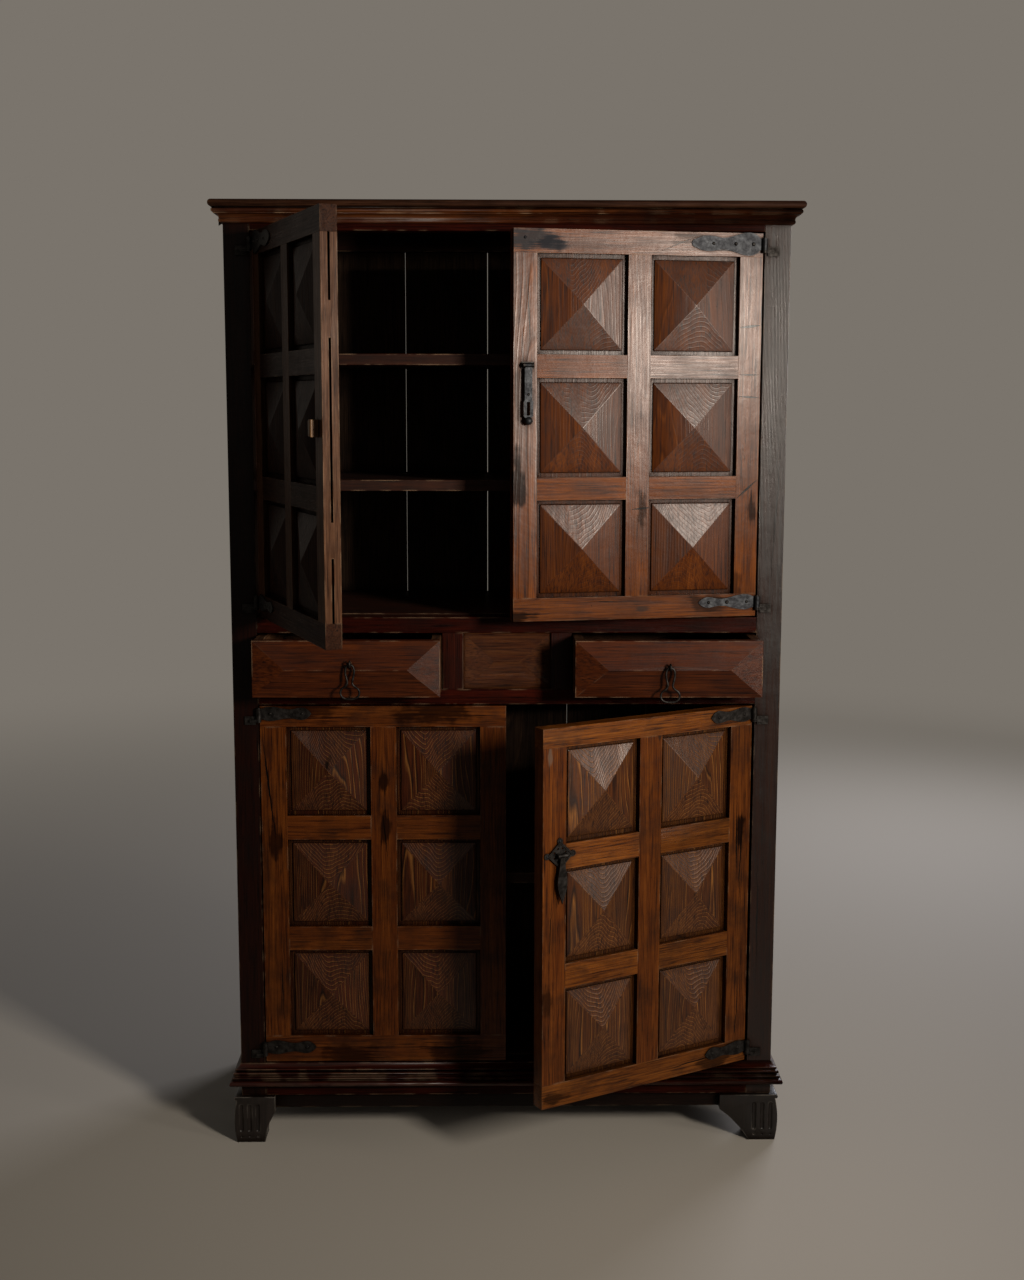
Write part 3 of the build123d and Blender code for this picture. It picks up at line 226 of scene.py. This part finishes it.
    # each board has warped a degree or two its own way, so light slides over them differently
    cast = add(tree, "VectorMath", {0: lot.outputs["Color"], 1: (0.5, 0.5, 0.5)}, operation="SUBTRACT")
    cast = add(tree, "VectorMath", {0: cast.outputs[0], 1: door}, operation="DOT_PRODUCT")
    planed = add(tree, "Math", {0: cast.outputs["Value"], 1: 90.0, 2: planed},
                 operation="MULTIPLY_ADD").outputs[0]
    cut = add(tree, "Math", {0: hole, 1: -3.0, 2: planed}, operation="MULTIPLY_ADD").outputs[0]
    bump = add(tree, "Bump", {"Height": cut, "Distance": 0.0008, "Strength": 0.8}).outputs[0]
    tree.links.new(bump, shader.inputs["Normal"])
    tree.links.new(waxed, shader.inputs["Specular IOR Level"])
    return wood


# rounds and hollows are shaded smooth, and folds of more than 30 degrees stay sharp
smoothing = bpy.data.node_groups.new("smooth_up_to_30_degrees", "GeometryNodeTree")
smoothing.interface.new_socket("Geometry", in_out="INPUT", socket_type="NodeSocketGeometry")
smoothing.interface.new_socket("Geometry", in_out="OUTPUT", socket_type="NodeSocketGeometry")
shape_in = smoothing.nodes.new("NodeGroupInput").outputs[0]
shape_out = smoothing.nodes.new("NodeGroupOutput").inputs[0]
all_smooth = smoothing.nodes.new("GeometryNodeSetShadeSmooth")
sharp = smoothing.nodes.new("GeometryNodeSetShadeSmooth")
sharp.domain = "EDGE"
sharp.inputs["Shade Smooth"].default_value = False
fold = smoothing.nodes.new("GeometryNodeInputMeshEdgeAngle")
steep = smoothing.nodes.new("FunctionNodeCompare")
steep.inputs["B"].default_value = radians(30)
smoothing.links.new(fold.outputs["Unsigned Angle"], steep.inputs["A"])
smoothing.links.new(steep.outputs[0], sharp.inputs["Selection"])
smoothing.links.new(shape_in, all_smooth.inputs["Geometry"])
smoothing.links.new(all_smooth.outputs[0], sharp.inputs["Geometry"])
smoothing.links.new(sharp.outputs[0], shape_out)


def finish(names, material, width=0.0, sharpest=35, curved=False):
    """Gives CAD nodes their material, joins their loose faces, rounds the arrises that fold by more
    than sharpest degrees by width in mm, and shades curved pieces smooth."""
    for name in names.split():
        piece = nodes[name]
        for slot in piece.material_slots:
            slot.material = material
        weld = piece.modifiers.new("weld", "WELD")
        weld.merge_threshold = 0.00002
        if width:
            planes = piece.modifiers.new("planes", "DECIMATE")
            planes.decimate_type = "DISSOLVE"
            planes.angle_limit = radians(0.5)
            arris = piece.modifiers.new("arris", "BEVEL")
            arris.width = width / 1000
            arris.segments = 2
            arris.limit_method = "ANGLE"
            arris.angle_limit = radians(sharpest)
        if curved:
            shading = piece.modifiers.new("shading", "NODES")
            shading.node_group = smoothing


hinge_x, hinge_y = 0.49875, -0.006  # the line through a side's four pintles
post_dark = old_timber("waxed_walnut_left_post", "Z", "#2a1108", "#170704", "#090302", ring=2.6,
                       soot=0.6)
post_red = old_timber(
    "waxed_walnut_right_post", "Z", "#321c12", "#1c0c07", "#0b0402", ring=2.6, gloss=0.5,
    splits=((0.541, 1.45, 0.527, 1.18, 0.0016, 0.014), (0.512, 0.62, 0.516, 0.33, 0.0012, 0.012)))
finish("left_front_post rear_posts", post_dark, 1.6)
finish("right_front_post", post_red, 1.6)


# ---- Front rails and the muntins of the drawer row ------------------------------------------------
# Walnut rails tenoned between the posts, planed true and waxed. They keep a red tone under the smoke,
# and their arrises are rubbed bright.
rail_red = old_timber("waxed_walnut_rails", "X", "#44150a", "#280904", "#0d0301", ring=2.2, soot=0.6,
                      worn=0.5, gloss=0.06)
muntin_red = old_timber("waxed_walnut_muntins", "Z", "#40180b", "#270b06", "#0e0402")
finish("frieze_rail waist_rail bearer_rail base_rail", rail_red, 1.4)
finish("drawer_muntins", muntin_red, 1.4)


# ---- Sides ----------------------------------------------------------------------------------------
# Framed sides: walnut rails tenoned into the front and rear posts, and thin riven panels loose in
# their grooves. They are waxed like the posts, and smoke has left them nearly black.
side_frame = old_timber("waxed_walnut_side_rails", "Y", "#341409", "#1e0b06", "#0c0402", soot=0.7)
side_board = old_timber("waxed_walnut_side_panels", "Z", "#3a190a", "#220d06", "#0d0402", ring=3.2,
                        pith=0.2, soot=0.6)
finish("side_rails", side_frame, 1.4)
finish("side_panels", side_board, 0.8)


# ---- Back, floors and shelves ---------------------------------------------------------------------
# Chestnut boards that were never waxed, nailed up at the back and laid on battens inside. They are
# dry, dusty and dark with smoke, paler at the sawn front edges of the shelves.
back_wood = old_timber("dry_chestnut_back", "Z", "#58402c", "#36261a", "#140c08", ring=3.4,
                       soot=0.6, sheen=0.62)
shelf_wood = old_timber("dry_chestnut_shelves", "X", "#4c2816", "#2c140b", "#0f0705", ring=3.0,
                        soot=0.6, worn=0.7, sheen=0.5)
batten_wood = old_timber("dry_chestnut_battens", "Y", "#2e1e15", "#1c110b", "#0c0705", sheen=0.62)
finish("back_boards", back_wood, 0.8)
finish("back_rails lower_floor upper_floor upper_shelf middle_shelf lower_shelf", shelf_wood, 1.0)
finish("shelf_battens drawer_runners", batten_wood, 1.0)


# ---- Top board and mouldings ----------------------------------------------------------------------
# The top board is nailed down over the case with its edge planed round. The cornice and base moulds
# are walnut run with moulding planes, mitred at the front corners and rubbed golden on their rounds.
cornice_wood = old_timber("moulded_walnut_cornice", "X", "#8a5120", "#3b170b", "#120603", ring=2.0,
                          soot=0.6, worn=0.5, sheen=0.3, gloss=0.3)
base_wood = old_timber("moulded_walnut_base", "X", "#5e1f0c", "#320e07", "#0f0402", ring=2.0,
                       worn=0.5, sheen=0.3, gloss=0.3)
top_wood = old_timber("dusty_walnut_top", "X", "#5a3c28", "#301a10", "#120804", ring=2.6, sheen=0.6,
                      gloss=0.06)
finish("top_board", top_wood, 0.7, curved=True)
finish("cornice", cornice_wood, 0.7, curved=True)
finish("base_moulding", base_wood, 0.6, curved=True)


# ---- Feet and apron -------------------------------------------------------------------------------
# Walnut feet with three gouged flutes and a sawn bracket, dowelled under the posts. Mop and broom have
# left them black; their grey edges are partly rubbed wear and partly a painted highlight on the flutes.
foot_wood = old_timber("blackened_walnut_feet", "Z", "#2a201a", "#100a08", "#060302", soot=0.4,
                       worn=1.0, sheen=0.3, gloss=0.5, rubbed_to="#6a645c")
apron_wood = old_timber("blackened_walnut_apron", "X", "#1e0e08", "#120704", "#070302", soot=0.7)
finish("left_front_foot right_front_foot left_rear_foot right_rear_foot", foot_wood, 0.7, curved=True)
finish("apron", apron_wood, 1.0)


# ---- Drawers and the centre panel -----------------------------------------------------------------
# Walnut fronts shaped as hipped roofs, cut from the thick of the board, so the rings come out as
# nested lines on the slopes. The boxes behind are plain nailed chestnut.
front_wood = old_timber("waxed_walnut_drawer_fronts", "X", "#6a3613", "#401a07", "#180602", ring=1.8,
                        pith=0.06, lean=2.0, worn=0.6, sheen=0.3, gloss=0.2, figured=0.6)
centre_wood = old_timber("waxed_walnut_centre_panel", "X", "#8a5a30", "#38160a", "#140604", ring=1.6,
                         pith=0.05, figured=0.8, relief=0.4)
box_wood = old_timber("dry_chestnut_drawer_boxes", "Y", "#6a4830", "#48301c", "#22150d", ring=3.0,
                      soot=0.4, sheen=0.6)
hip_fold = 10  # in degrees, less than the slopes of a hipped front meet at
finish("left_drawer_front right_drawer_front", front_wood, 1.2, hip_fold)
finish("centre_panel", centre_wood, 0.8, hip_fold)
finish("left_drawer_sides right_drawer_sides left_drawer_bottom right_drawer_bottom", box_wood, 0.8)


# ---- Upper doors ----------------------------------------------------------------------------------
# Walnut frames with full-width end rails, grooved for six pointed panels each. The right door's frame
# is dry below and waxed to a pale gleam above, and its panels are redder. The left door is dull; its
# rails and panels are darker with painted shade, and its stiles paler and greyer, partly with a
# painted sheen.
def own_boards(side, foot, stile, end_rail, cross_rail, bay):
    """The spacing of a closed door's panels, and the middle of the lowest one by the free edge."""
    free_edge = 0.00325  # from the middle of the case, in metres
    no_repeat = 10  # no pattern repeats through a panel's thickness
    width, height = bay
    return {"pitch": (width + stile, no_repeat, height + cross_rail),
            "middle": (side * (free_edge + stile + width / 2), 0, foot + end_rail + height / 2)}


upper_left, upper_right = (-1, 69.3), (1, 11.2)
point_fold = 8  # in degrees, less than the four slopes of a panel meet at
upper_size = {"foot": 1.103, "stile": 0.046, "end_rail": 0.045, "cross_rail": 0.044,
              "bay": (0.17875, 0.189667)}
upper_right_upright_wood = old_timber(
    "worn_walnut_upper_right_stiles", "Z", "#864b1b", "#64330a", "#200d04", hung=upper_right,
    sheen=0.27, gloss=0.26, polished=(1.08, 1.56),
    marks=(((0.010, 0.0, 1.375), 0.020, "#140905", 0.9), ((0.020, 0.0, 1.545), 0.022, "#2c1a10", 0.6),
           ((0.259, 0.0, 1.322), 0.012, "#1c0e06", 0.8), ((0.486, 0.0, 1.320), 0.011, "#120805", 0.8),
           ((0.452, 0.0, 1.160), 0.016, "#241209", 0.6)),
    splits=((0.4515, 1.669, 0.4975, 1.675, 0.0024, 0.006),
            (0.4515, 1.579, 0.4975, 1.579, 0.0015, 0.001),
            (0.4515, 1.537, 0.4975, 1.535, 0.0018, 0.001),
            (0.4515, 1.336, 0.4975, 1.376, 0.0022, 0.001),
            (0.236, 1.318, 0.282, 1.322, 0.0018, 0.002), (0.030, 1.76, 0.034, 1.62, 0.0012, 0.006)))
upper_right_rail_wood = old_timber(
    "worn_walnut_upper_right_rails", "X", "#864b1c", "#60310a", "#200d04", hung=upper_right,
    sheen=0.27, gloss=0.26, polished=(1.08, 1.56),
    marks=(((0.030, 0.0, 1.830), 0.024, "#24272b", 0.9), ((0.072, 0.0, 1.822), 0.015, "#24252a", 0.9),
           ((0.012, 0.0, 1.113), 0.012, "#160b06", 0.9), ((0.262, 0.0, 1.122), 0.007, "#2c2826", 0.7),
           ((0.400, 0.0, 1.130), 0.020, "#1c130e", 0.7), ((0.350, 0.0, 1.838), 0.014, "#2a1c14", 0.6)),
    splits=((0.290, 1.812, 0.365, 1.842, 0.0008, 0.006), (0.150, 1.140, 0.232, 1.137, 0.0008, 0.004)))
upper_right_panel_wood = old_timber(
    "waxed_walnut_upper_right_panels", "Z", "#6c3a12", "#4a2307", "#1c0a03", ring=1.7,
    hung=upper_right, pith=0.2, lean=2.0, soot=0.35, worn=0.0, sheen=0.3, gloss=0.34,
    polished=(0.98, 1.5), figured=0.35, relief=0.12, **own_boards(1, **upper_size))
# the left door's rails and panels are painted darker than the right's, as painted shade, and its stiles
# paler and greyer, partly as a painted sheen on the free edge
upper_left_upright_wood_and_painted_sheen = old_timber(
    "walnut_upper_left_stiles", "Z", "#7e5c46", "#5c3f2c", "#1c0e08", hung=upper_left, worn=0.4,
    gloss=0.04)
upper_left_rail_wood_and_painted_shade = old_timber(
    "walnut_upper_left_rails", "X", "#4e3020", "#321c10", "#100704", hung=upper_left, worn=0.4,
    gloss=0.03)
upper_left_panel_wood_and_painted_shade = old_timber(
    "walnut_upper_left_panels", "Z", "#40240f", "#2a140a", "#0e0603", ring=1.7, hung=upper_left,
    pith=0.2, lean=2.0, worn=0.0, gloss=0.03, figured=0.35, relief=0.12,
    **own_boards(-1, **upper_size))
finish("upper_right_door_uprights", upper_right_upright_wood, 1.2)
finish("upper_right_door_rails", upper_right_rail_wood, 1.2)
finish("upper_right_door_panels", upper_right_panel_wood, 0.8, point_fold)
finish("upper_left_door_uprights", upper_left_upright_wood_and_painted_sheen, 1.2)
finish("upper_left_door_rails", upper_left_rail_wood_and_painted_shade, 1.2)
finish("upper_left_door_panels", upper_left_panel_wood_and_painted_shade, 0.8, point_fold)
# the lug is a whittled peg of beech, much paler than the walnut that it is driven into
lug_wood = old_timber("pale_beech_lug", "Z", "#b89468", "#8e6a44", "#4a3220", hung=upper_left,
                      soot=0.3, worn=0.6)
finish("upper_left_door_knob", lug_wood, 1.0)


# ---- Lower doors ----------------------------------------------------------------------------------
# The same doors below, warmer and more orange, of coarser oak whose rings stand out on the points
# as pale lines, partly their own late wood and partly a painted glint.
# The wax is whole, but smoke and grease lie in clouds on the frames, and the stiles are shaken.
lower_left, lower_right = (-1, 0.0), (1, 29.8)
lower_size = {"foot": 0.172, "stile": 0.052, "cross_rail": 0.05}
lower_left_upright_wood = old_timber(
    "waxed_oak_lower_left_stiles", "Z", "#7a4416", "#54280b", "#160803", hung=lower_left, soot=0.75,
    marks=(((-0.470, 0.0, 0.640), 0.016, "#140804", 0.85),
           ((-0.250, 0.0, 0.760), 0.010, "#140804", 0.9),
           ((-0.248, 0.0, 0.670), 0.012, "#140804", 0.85)),
    splits=((-0.494, 0.875, -0.470, 0.640, 0.0018, 0.012), (-0.462, 0.42, -0.458, 0.25, 0.0010, 0.010),
            (-0.252, 0.72, -0.244, 0.60, 0.0012, 0.010)))
lower_left_rail_wood = old_timber(
    "waxed_oak_lower_left_rails", "X", "#7e4717", "#562a0c", "#160803", hung=lower_left, soot=0.75,
    # two dark clouds along the top rail just under the drawers, and two along the bottom rail
    marks=(((-0.400, 0.0, 0.912), 0.028, "#1a0803", 0.8),
           ((-0.150, 0.0, 0.908), 0.030, "#160702", 0.85),
           ((-0.330, 0.0, 0.186), 0.024, "#150702", 0.7),
           ((-0.100, 0.0, 0.190), 0.028, "#150702", 0.7)),
    splits=((-0.20, 0.196, -0.06, 0.205, 0.0010, 0.008),))
# the strong pale ring lines on these panels are partly a painted glint along their ridges
lower_left_panel_wood = old_timber(
    "waxed_oak_lower_left_panels", "Z", "#80552a", "#401c0b", "#160703", ring=1.6, hung=lower_left,
    pith=0.2, lean=2.0, worn=0.0, sheen=0.3, gloss=0.3, figured=0.85, relief=0.25,
    marks=(((-0.362, 0.0, 0.790), 0.009, "#0e0603", 0.95),),
    **own_boards(-1, end_rail=0.055, bay=(0.16975, 0.183333), **lower_size))
lower_right_upright_wood = old_timber(
    "waxed_oak_lower_right_stiles", "Z", "#824918", "#582c0c", "#180b04", hung=lower_right, soot=0.75,
    marks=(((0.474, 0.0, 0.668), 0.014, "#0c0503", 0.95), ((0.270, 0.0, 0.895), 0.010, "#241d18", 0.8),
           ((0.012, 0.0, 0.385), 0.014, "#241208", 0.8), ((0.018, 0.0, 0.866), 0.006, "#6a5c50", 0.5)),
    splits=((0.462, 0.72, 0.468, 0.56, 0.0016, 0.010), (0.478, 0.70, 0.474, 0.50, 0.0014, 0.012),
            (0.476, 0.36, 0.470, 0.20, 0.0010, 0.010), (0.022, 0.60, 0.018, 0.44, 0.0009, 0.010)))
lower_right_rail_wood = old_timber(
    "waxed_oak_lower_right_rails", "X", "#925820", "#6a3a10", "#1c0d04", hung=lower_right, soot=0.75,
    marks=(((0.420, 0.0, 0.190), 0.020, "#1a0d06", 0.8), ((0.030, 0.0, 0.190), 0.012, "#1a0d06", 0.7)),
    splits=((0.30, 0.192, 0.44, 0.198, 0.0012, 0.008),))
# the strong pale ring lines on these panels are partly a painted glint along their ridges
lower_right_panel_wood = old_timber(
    "waxed_oak_lower_right_panels", "Z", "#8c5c2a", "#4e290d", "#1c0a04", ring=1.6,
    hung=lower_right, pith=0.2, lean=2.0, worn=0.0, sheen=0.3, gloss=0.4, figured=0.85, relief=0.3,
    **own_boards(1, end_rail=0.047, bay=(0.16975, 0.187667), **lower_size))
finish("lower_left_door_uprights", lower_left_upright_wood, 1.2)
finish("lower_left_door_rails", lower_left_rail_wood, 1.2)
finish("lower_left_door_panels", lower_left_panel_wood, 0.8, point_fold)
finish("lower_right_door_uprights", lower_right_upright_wood, 1.2)
finish("lower_right_door_rails", lower_right_rail_wood, 1.2)
finish("lower_right_door_panels", lower_right_panel_wood, 0.8, point_fold)


# ---- Ironwork -------------------------------------------------------------------------------------
# Wrought iron forged and filed by hand: straps, pintles, hasp, loops, escutcheon and pendant. Hammer
# facets and black forge scale, with grey bare metal where it is rubbed.
def wrought_iron(name, bare, scale):
    """Iron hammered at the forge, with the hex colours of its bare metal and of its black scale."""
    sheen = 0.42  # the roughness of the metal between its pits
    iron = bpy.data.materials.new(name)
    iron.use_nodes = True
    tree = iron.node_tree
    shader = tree.nodes["Principled BSDF"]
    place = add(tree, "TexCoord").outputs["Object"]
    # hammer facets about 7 mm across, with 1.5 mm pitting between them
    blows = add(tree, "TexVoronoi", {"Vector": place, "Scale": 140.0, "Smoothness": 0.6},
                feature="SMOOTH_F1").outputs["Distance"]
    pits = add(tree, "TexNoise", {"Vector": place, "Scale": 620.0, "Detail": 3.0}).outputs["Fac"]
    clouds = add(tree, "TexNoise", {"Vector": place, "Scale": 90.0, "Detail": 4.0}).outputs["Fac"]
    rounded = add(tree, "Bevel", {"Radius": 0.0015}, samples=4).outputs[0]
    flat = add(tree, "NewGeometry").outputs["Normal"]
    facing = add(tree, "VectorMath", {0: rounded, 1: flat}, operation="DOT_PRODUCT").outputs["Value"]
    edge = add(tree, "MapRange", {"Value": facing, "From Min": 0.99, "From Max": 0.8}).outputs[0]
    cloudy = add(tree, "MapRange", {"Value": clouds, "From Min": 0.4, "From Max": 0.8}).outputs[0]
    rubbed = add(tree, "Math", {0: edge, 1: cloudy}, operation="MAXIMUM").outputs[0]
    colour = add(tree, "Mix", {0: rubbed, 6: linear(scale), 7: linear(bare)},
                 data_type="RGBA").outputs[2]
    tree.links.new(colour, shader.inputs["Base Color"])
    rough = add(tree, "MapRange", {"Value": pits, "To Min": sheen - 0.08, "To Max": sheen + 0.25})
    tree.links.new(rough.outputs[0], shader.inputs["Roughness"])
    shader.inputs["Metallic"].default_value = 0.85
    height = add(tree, "Math", {0: pits, 1: 0.35, 2: blows}, operation="MULTIPLY_ADD").outputs[0]
    bump = add(tree, "Bump", {"Height": height, "Distance": 0.0007, "Strength": 0.7}).outputs[0]
    tree.links.new(bump, shader.inputs["Normal"])
    return iron


bright_iron = wrought_iron("wrought_iron_rubbed", "#3e4043", "#1c1d20")
black_iron = wrought_iron("wrought_iron_forge_black", "#3a3735", "#171412")
finish("upper_right_door_straps hasp", bright_iron, curved=True)
finish("upper_left_door_straps lower_left_door_straps lower_right_door_straps hinge_pintles "
       "hasp_staple escutcheon pendant left_drawer_eye right_drawer_eye", black_iron, curved=True)


def iron_piece(name, shape, iron, body):
    """Turns a finished bmesh into a piece of iron that rides on a body."""
    mesh = bpy.data.meshes.new(name)
    shape.to_mesh(mesh)
    shape.free()
    mesh.materials.append(iron)
    piece = bpy.data.objects.new(name, mesh)
    scene.collection.objects.link(piece)
    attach(piece, body)
    return piece


def forged_loop(side, middle, height, outer_face):
    """A gourd-shaped loop bent from one round rod, hung from the middle of its top at (middle,
    outer_face, height) in metres. Half its outline is in mm, across and down from that point."""
    rod_radius, rod_sides = 2.1, 10
    bends = 4  # steps of the smooth curve from one point of the outline to the next
    depth = Vector((0, 1, 0))
    half = ((0, 0), (5.5, 2.0), (8.3, 9.0), (8.2, 18.0), (5.9, 28.0), (4.9, 36.0), (8.4, 41.5),
            (15.2, 46.5), (18.4, 54.0), (16.2, 61.5), (9.8, 66.0), (0, 67.2))
    outline = [Vector((across, 0, -down)) for across, down in half]
    outline += [Vector((-p.x, 0, p.z)) for p in reversed(outline[1:-1])]
    count = len(outline)
    path = []  # a smooth closed curve through all the points
    for index in range(count):
        p0, p1, p2, p3 = (outline[(index + step) % count] for step in (-1, 0, 1, 2))
        for s in (bend / bends for bend in range(bends)):
            path.append(0.5 * (2 * p1 + (p2 - p0) * s + (2 * p0 - 5 * p1 + 4 * p2 - p3) * s * s
                               + (3 * p1 - p0 - 3 * p2 + p3) * s ** 3))
    rod = bmesh.new()
    hoops = []
    for index, point in enumerate(path):
        run = (path[(index + 1) % len(path)] - path[index - 1]).normalized()
        square = Matrix((depth, run.cross(depth), run)).transposed().to_4x4()
        place = Matrix.Translation(point / 1000 + Vector((middle, outer_face, height)))
        thick = rod_radius * (1 + 0.07 * sin(index * 0.9 + side))  # never quite round under a hammer
        bmesh.ops.create_circle(rod, segments=rod_sides, radius=thick / 1000, matrix=place @ square)
        hoops.append(rod.edges[:][-rod_sides:])
    for hoop, following in zip(hoops, hoops[1:] + hoops[:1]):
        bmesh.ops.bridge_loops(rod, edges=hoop + following)
    for face in rod.faces:
        face.smooth = True
    bmesh.ops.recalc_face_normals(rod, faces=rod.faces[:])
    drawer = "left_drawer" if side < 0 else "right_drawer"
    piece = iron_piece(drawer + "_forged_pull", rod, black_iron, drawer + "_pull_loop")
    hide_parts(drawer + "_pull")


eye_x, eye_height, eye_reach = 0.315, 1.0162, 0.024  # of a shut drawer's eye, in metres
for side, drawn_out, inset, rise in ((-1, 0.095, 0.009, 0.006), (1, 0.100, 0.0, 0.0)):
    forged_loop(side, side * (eye_x - inset), eye_height + rise, -eye_reach - drawn_out)


def nail_heads(name, body, places, radius, iron, hung):
    """Hammered nail heads with seven flats, each set and sized a little differently, at (x, y, z) in
    metres on a door as if it were closed, then swung with it."""
    side, opening = hung
    pin = Vector((side * hinge_x, hinge_y, 0))
    heads = bmesh.new()
    for index, place in enumerate(places):
        size = radius * (0.9 + 0.2 * ((index * 7) % 5) / 4)
        head = bmesh.ops.create_cone(heads, cap_ends=True, segments=7, radius1=size,
                                     radius2=size * 0.5, depth=size * 0.55)["verts"]
        crown = [v for v in head if v.co.z > 0]
        bmesh.ops.scale(heads, vec=(1.0, 0.8, 1.0), verts=crown)
        bmesh.ops.rotate(heads, matrix=Matrix.Rotation(index * 1.7, 3, "Z"), verts=head)
        bmesh.ops.rotate(heads, matrix=Matrix.Rotation(radians(90), 3, "X"), verts=head)
        bmesh.ops.translate(heads, vec=Vector(place) - Vector((0, size * 0.25, 0)), verts=head)
    bmesh.ops.bevel(heads, geom=heads.edges[:], offset=radius * 0.12, affect="EDGES", segments=1,
                    profile=0.5, material=-1)
    bmesh.ops.rotate(heads, cent=pin, matrix=Matrix.Rotation(radians(side * opening), 3, "Z"),
                     verts=heads.verts)
    iron_piece(name, heads, iron, body)


plate_face = -0.0025  # the outer face of the straps and of the escutcheon
strap_nail, rivet, petal_nail, old_nail = 0.0042, 0.0036, 0.0030, 0.0038  # radii of their heads
# the height of each strap, and how far its nails stand from the pin
upper_straps = ((1.829, (0.103, 0.058, 0.022)), (1.132, (0.100, 0.062, 0.021)))
lower_straps = ((0.9045, (0.086, 0.022)), (0.203, (0.086, 0.022)))
for body, hung, straps in (("upper_left_door", upper_left, upper_straps),
                           ("upper_right_door", upper_right, upper_straps),
                           ("lower_left_door", lower_left, lower_straps),
                           ("lower_right_door", lower_right, lower_straps)):
    strap_nails = [(hung[0] * (hinge_x - run), plate_face, height)
                   for height, runs in straps for run in runs]
    nail_heads(body + "_nails", body, strap_nails, strap_nail, black_iron, hung)
nail_heads("hasp_rivet", "hasp", [(0.029, -0.0115, 1.540)], rivet, black_iron, upper_right)
plate_x, plate_height, petal_x, petal_z = 0.0395, 0.6743, 0.029, 0.027
petal_nails = [(plate_x + across, plate_face, plate_height + up)
               for across, up in ((petal_x, 0), (-petal_x, 0), (0, petal_z), (0, -petal_z))]
nail_heads("escutcheon_nails", "lower_right_door", petal_nails, petal_nail, bright_iron, lower_right)
nail_heads("loose_nail", "upper_right_door", [(0.024, 0.0, 1.833)], old_nail, bright_iron, upper_right)


# ---- Floor, light and camera ----------------------------------------------------------------------
# A plain pale floor of matt paint, which gives no shine. A key from the right stands low enough to
# rake the points, a side light further round catches the slopes that turn away from it, and a broad
# cool light stands behind.
backdrop_grey = linear("#7a746c")
stand = bmesh.new()
bmesh.ops.create_grid(stand, x_segments=1, y_segments=1, size=40.0)
floor_mesh = bpy.data.meshes.new("floor")
stand.to_mesh(floor_mesh)
stand.free()
floor = bpy.data.objects.new("floor", floor_mesh)
scene.collection.objects.link(floor)
paint = bpy.data.materials.new("matt_paint_floor")
paint.use_nodes = True
coats = paint.node_tree
matt = coats.nodes["Principled BSDF"]
matt.inputs["Base Color"].default_value = linear("#bdb7ad")
matt.inputs["Roughness"].default_value = 0.85
# far off, the floor turns into the backdrop's colour, for the camera alone
spot = add(coats, "TexCoord").outputs["Object"]
reach = add(coats, "VectorMath", {0: spot}, operation="LENGTH").outputs["Value"]
far = add(coats, "MapRange", {"Value": reach, "From Min": 1.4, "From Max": 6.0},
          interpolation_type="SMOOTHSTEP").outputs[0]
eye = add(coats, "LightPath").outputs["Is Camera Ray"]
fade = add(coats, "Math", {0: far, 1: eye}, operation="MULTIPLY").outputs[0]
wall = add(coats, "Emission", {"Color": backdrop_grey}).outputs[0]
joined = add(coats, "MixShader", {0: fade, 1: matt.outputs[0], 2: wall}).outputs[0]
coats.links.new(joined, coats.nodes["Material Output"].inputs["Surface"])
floor_mesh.materials.append(paint)

# the room lights the wood dimly, and is the grey backdrop wherever it is seen or mirrored
room = bpy.data.worlds.new("studio")
scene.world = room
room.use_nodes = True
air = room.node_tree
air.nodes.clear()
ray = add(air, "LightPath").outputs
seen = add(air, "Math", {0: ray["Is Camera Ray"], 1: ray["Is Glossy Ray"]}, operation="MAXIMUM")
seen = add(air, "Math", {0: seen.outputs[0], 1: ray["Is Transmission Ray"]}, operation="MAXIMUM")
soft = add(air, "Background", {"Color": linear("#fff8f0"), "Strength": 0.055})
backdrop = add(air, "Background", {"Color": backdrop_grey, "Strength": 1.0})
both = add(air, "MixShader", {0: seen.outputs[0], 1: soft.outputs[0], 2: backdrop.outputs[0]})
add(air, "OutputWorld", {"Surface": both.outputs[0]})

# places and sizes in metres, spreads in degrees and powers in watts
for name, place, aim, width, height, spread, power, hue in (
        ("key", (1.8, -2.5, 1.75), (-0.1, 0.0, 1.45), 0.4, 0.6, 90, 24.0, "#fff4e6"),
        ("side", (3.0, -1.8, 1.35), (0.25, 0.0, 1.2), 0.5, 1.2, 180, 13.0, "#fff4e6"),
        ("back", (2.2, 3.4, 2.2), (0.0, 0.4, 1.0), 1.6, 1.6, 180, 60.0, "#f6f6ff")):
    lamp = bpy.data.lights.new(name, "AREA")
    lamp.shape = "RECTANGLE"
    lamp.size = width
    lamp.size_y = height
    lamp.spread = radians(spread)
    lamp.energy = power
    lamp.color = linear(hue)[:3]
    light = bpy.data.objects.new(name, lamp)
    light.visible_camera = False
    light.location = place
    light.rotation_euler = (Vector(aim) - Vector(place)).to_track_quat("-Z", "Y").to_euler()
    scene.collection.objects.link(light)

# the camera stands 3.3 m before the case and 1.5 m up, turned a little right and down
camera_place = (-0.0413, -3.2899, 1.5229)
yaw, dip, roll = radians(0.889), radians(8.113), radians(0.095)
ahead = Vector((sin(yaw) * cos(dip), cos(yaw) * cos(dip), -sin(dip)))
right = Vector((cos(yaw), -sin(yaw), 0))
upward = right.cross(ahead)
level = cos(roll) * right + sin(roll) * upward
plumb = cos(roll) * upward - sin(roll) * right
camera_data = bpy.data.cameras.new("camera")
camera_data.sensor_width = 36.0
camera_data.lens = 46.67
camera = bpy.data.objects.new("camera", camera_data)
turned = Matrix((level, plumb, -ahead)).transposed().to_4x4()
camera.matrix_world = Matrix.Translation(camera_place) @ turned
scene.collection.objects.link(camera)
scene.camera = camera
scene.view_settings.view_transform = "Standard"
